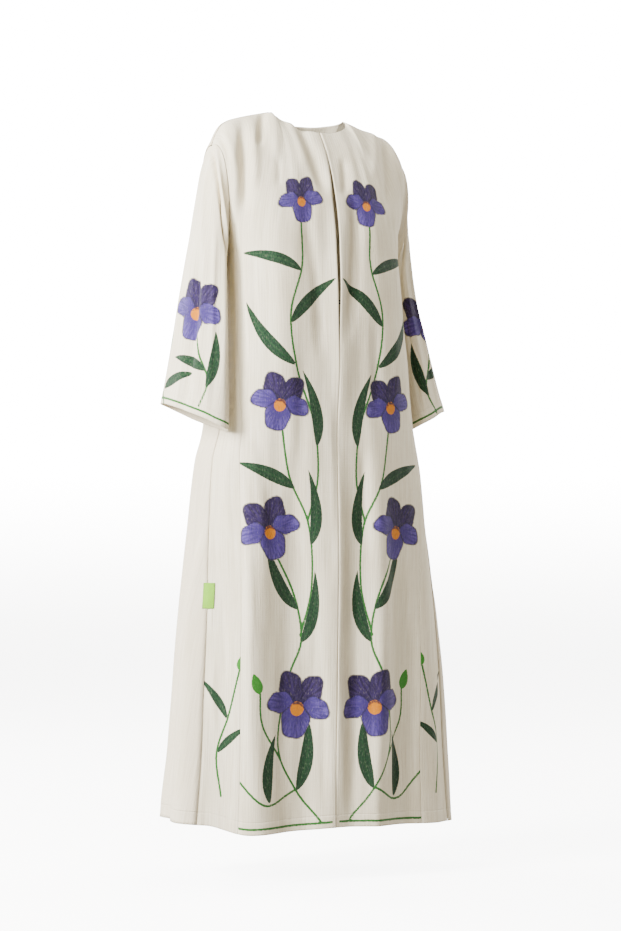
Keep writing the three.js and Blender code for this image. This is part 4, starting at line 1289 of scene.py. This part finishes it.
profile = [(ring, 0.0) for ring in FLOOR_RINGS]
for turn in np.radians(np.linspace(0, 90, SWEEP_STEPS + 1)):
    profile.append((FLOOR_RADIUS + SWEEP_RADIUS * math.sin(turn), SWEEP_RADIUS * (1 - math.cos(turn))))
profile.append((FLOOR_RADIUS + SWEEP_RADIUS, WALL_HEIGHT))
verts, faces = [], [tuple(range(ROUND_STEPS))]
for ring, (reach, height) in enumerate(profile):
    for step in range(ROUND_STEPS):
        turn = 2 * math.pi * step / ROUND_STEPS
        verts.append((reach * math.cos(turn), reach * math.sin(turn), FLOOR_LEVEL + height))
        if ring:
            here, following = ring * ROUND_STEPS + step, ring * ROUND_STEPS + (step + 1) % ROUND_STEPS
            faces.append((here - ROUND_STEPS, here, following, following - ROUND_STEPS))
sweep_mesh = bpy.data.meshes.new("studio_sweep")
sweep_mesh.from_pydata(verts, [], faces)
sweep_mesh.polygons.foreach_set("use_smooth", np.ones(len(faces), dtype=bool))
sweep = add_object("studio_sweep", sweep_mesh)
sweep_mesh.materials.append(studio_paper())
sweep.visible_diffuse = False
sweep.visible_glossy = False


def soft_light(name, right, nearer, height, width, tall, power, colour, target):
    light = bpy.data.lights.new(name, "AREA")
    light.shape = "RECTANGLE"
    light.size = width
    light.size_y = tall
    light.energy = power
    light.color = colour
    lamp = add_object(name, light)
    lamp.visible_camera = False
    lamp.location = camera_right * right + towards_camera * nearer + Vector((0, 0, height))
    lamp.rotation_euler = (Vector(target) - lamp.location).to_track_quat("-Z", "Y").to_euler()


soft_light("key", -3.4, 2.6, 0.9, 1.2, 2.6, 700.0, (1.0, 0.99, 0.975), (0, 0, -0.75))
soft_light("fill", -2.4, 3.8, 0.6, 2.0, 2.2, 250.0, (1.0, 0.98, 0.95), (0, 0, -0.8))
soft_light("overhead", 0.0, 0.3, 2.4, 2.6, 2.6, 30.0, (1.0, 0.98, 0.95), (0, 0, -1.2))
soft_light("back_left", -3.2, -1.9, 0.6, 1.8, 2.2, 280.0, (1.0, 0.99, 0.97), (0, 0, -0.8))
soft_light("back_right", 3.2, -1.9, 0.6, 1.8, 2.2, 150.0, (1.0, 0.99, 0.97), (0, 0, -0.8))
world = bpy.data.worlds.new("studio_world")
world.use_nodes = True
background = world.node_tree.nodes["Background"]
background.inputs["Color"].default_value = (1.0, 0.92, 0.78, 1.0)
background.inputs["Strength"].default_value = 0.70
bpy.context.scene.world = world
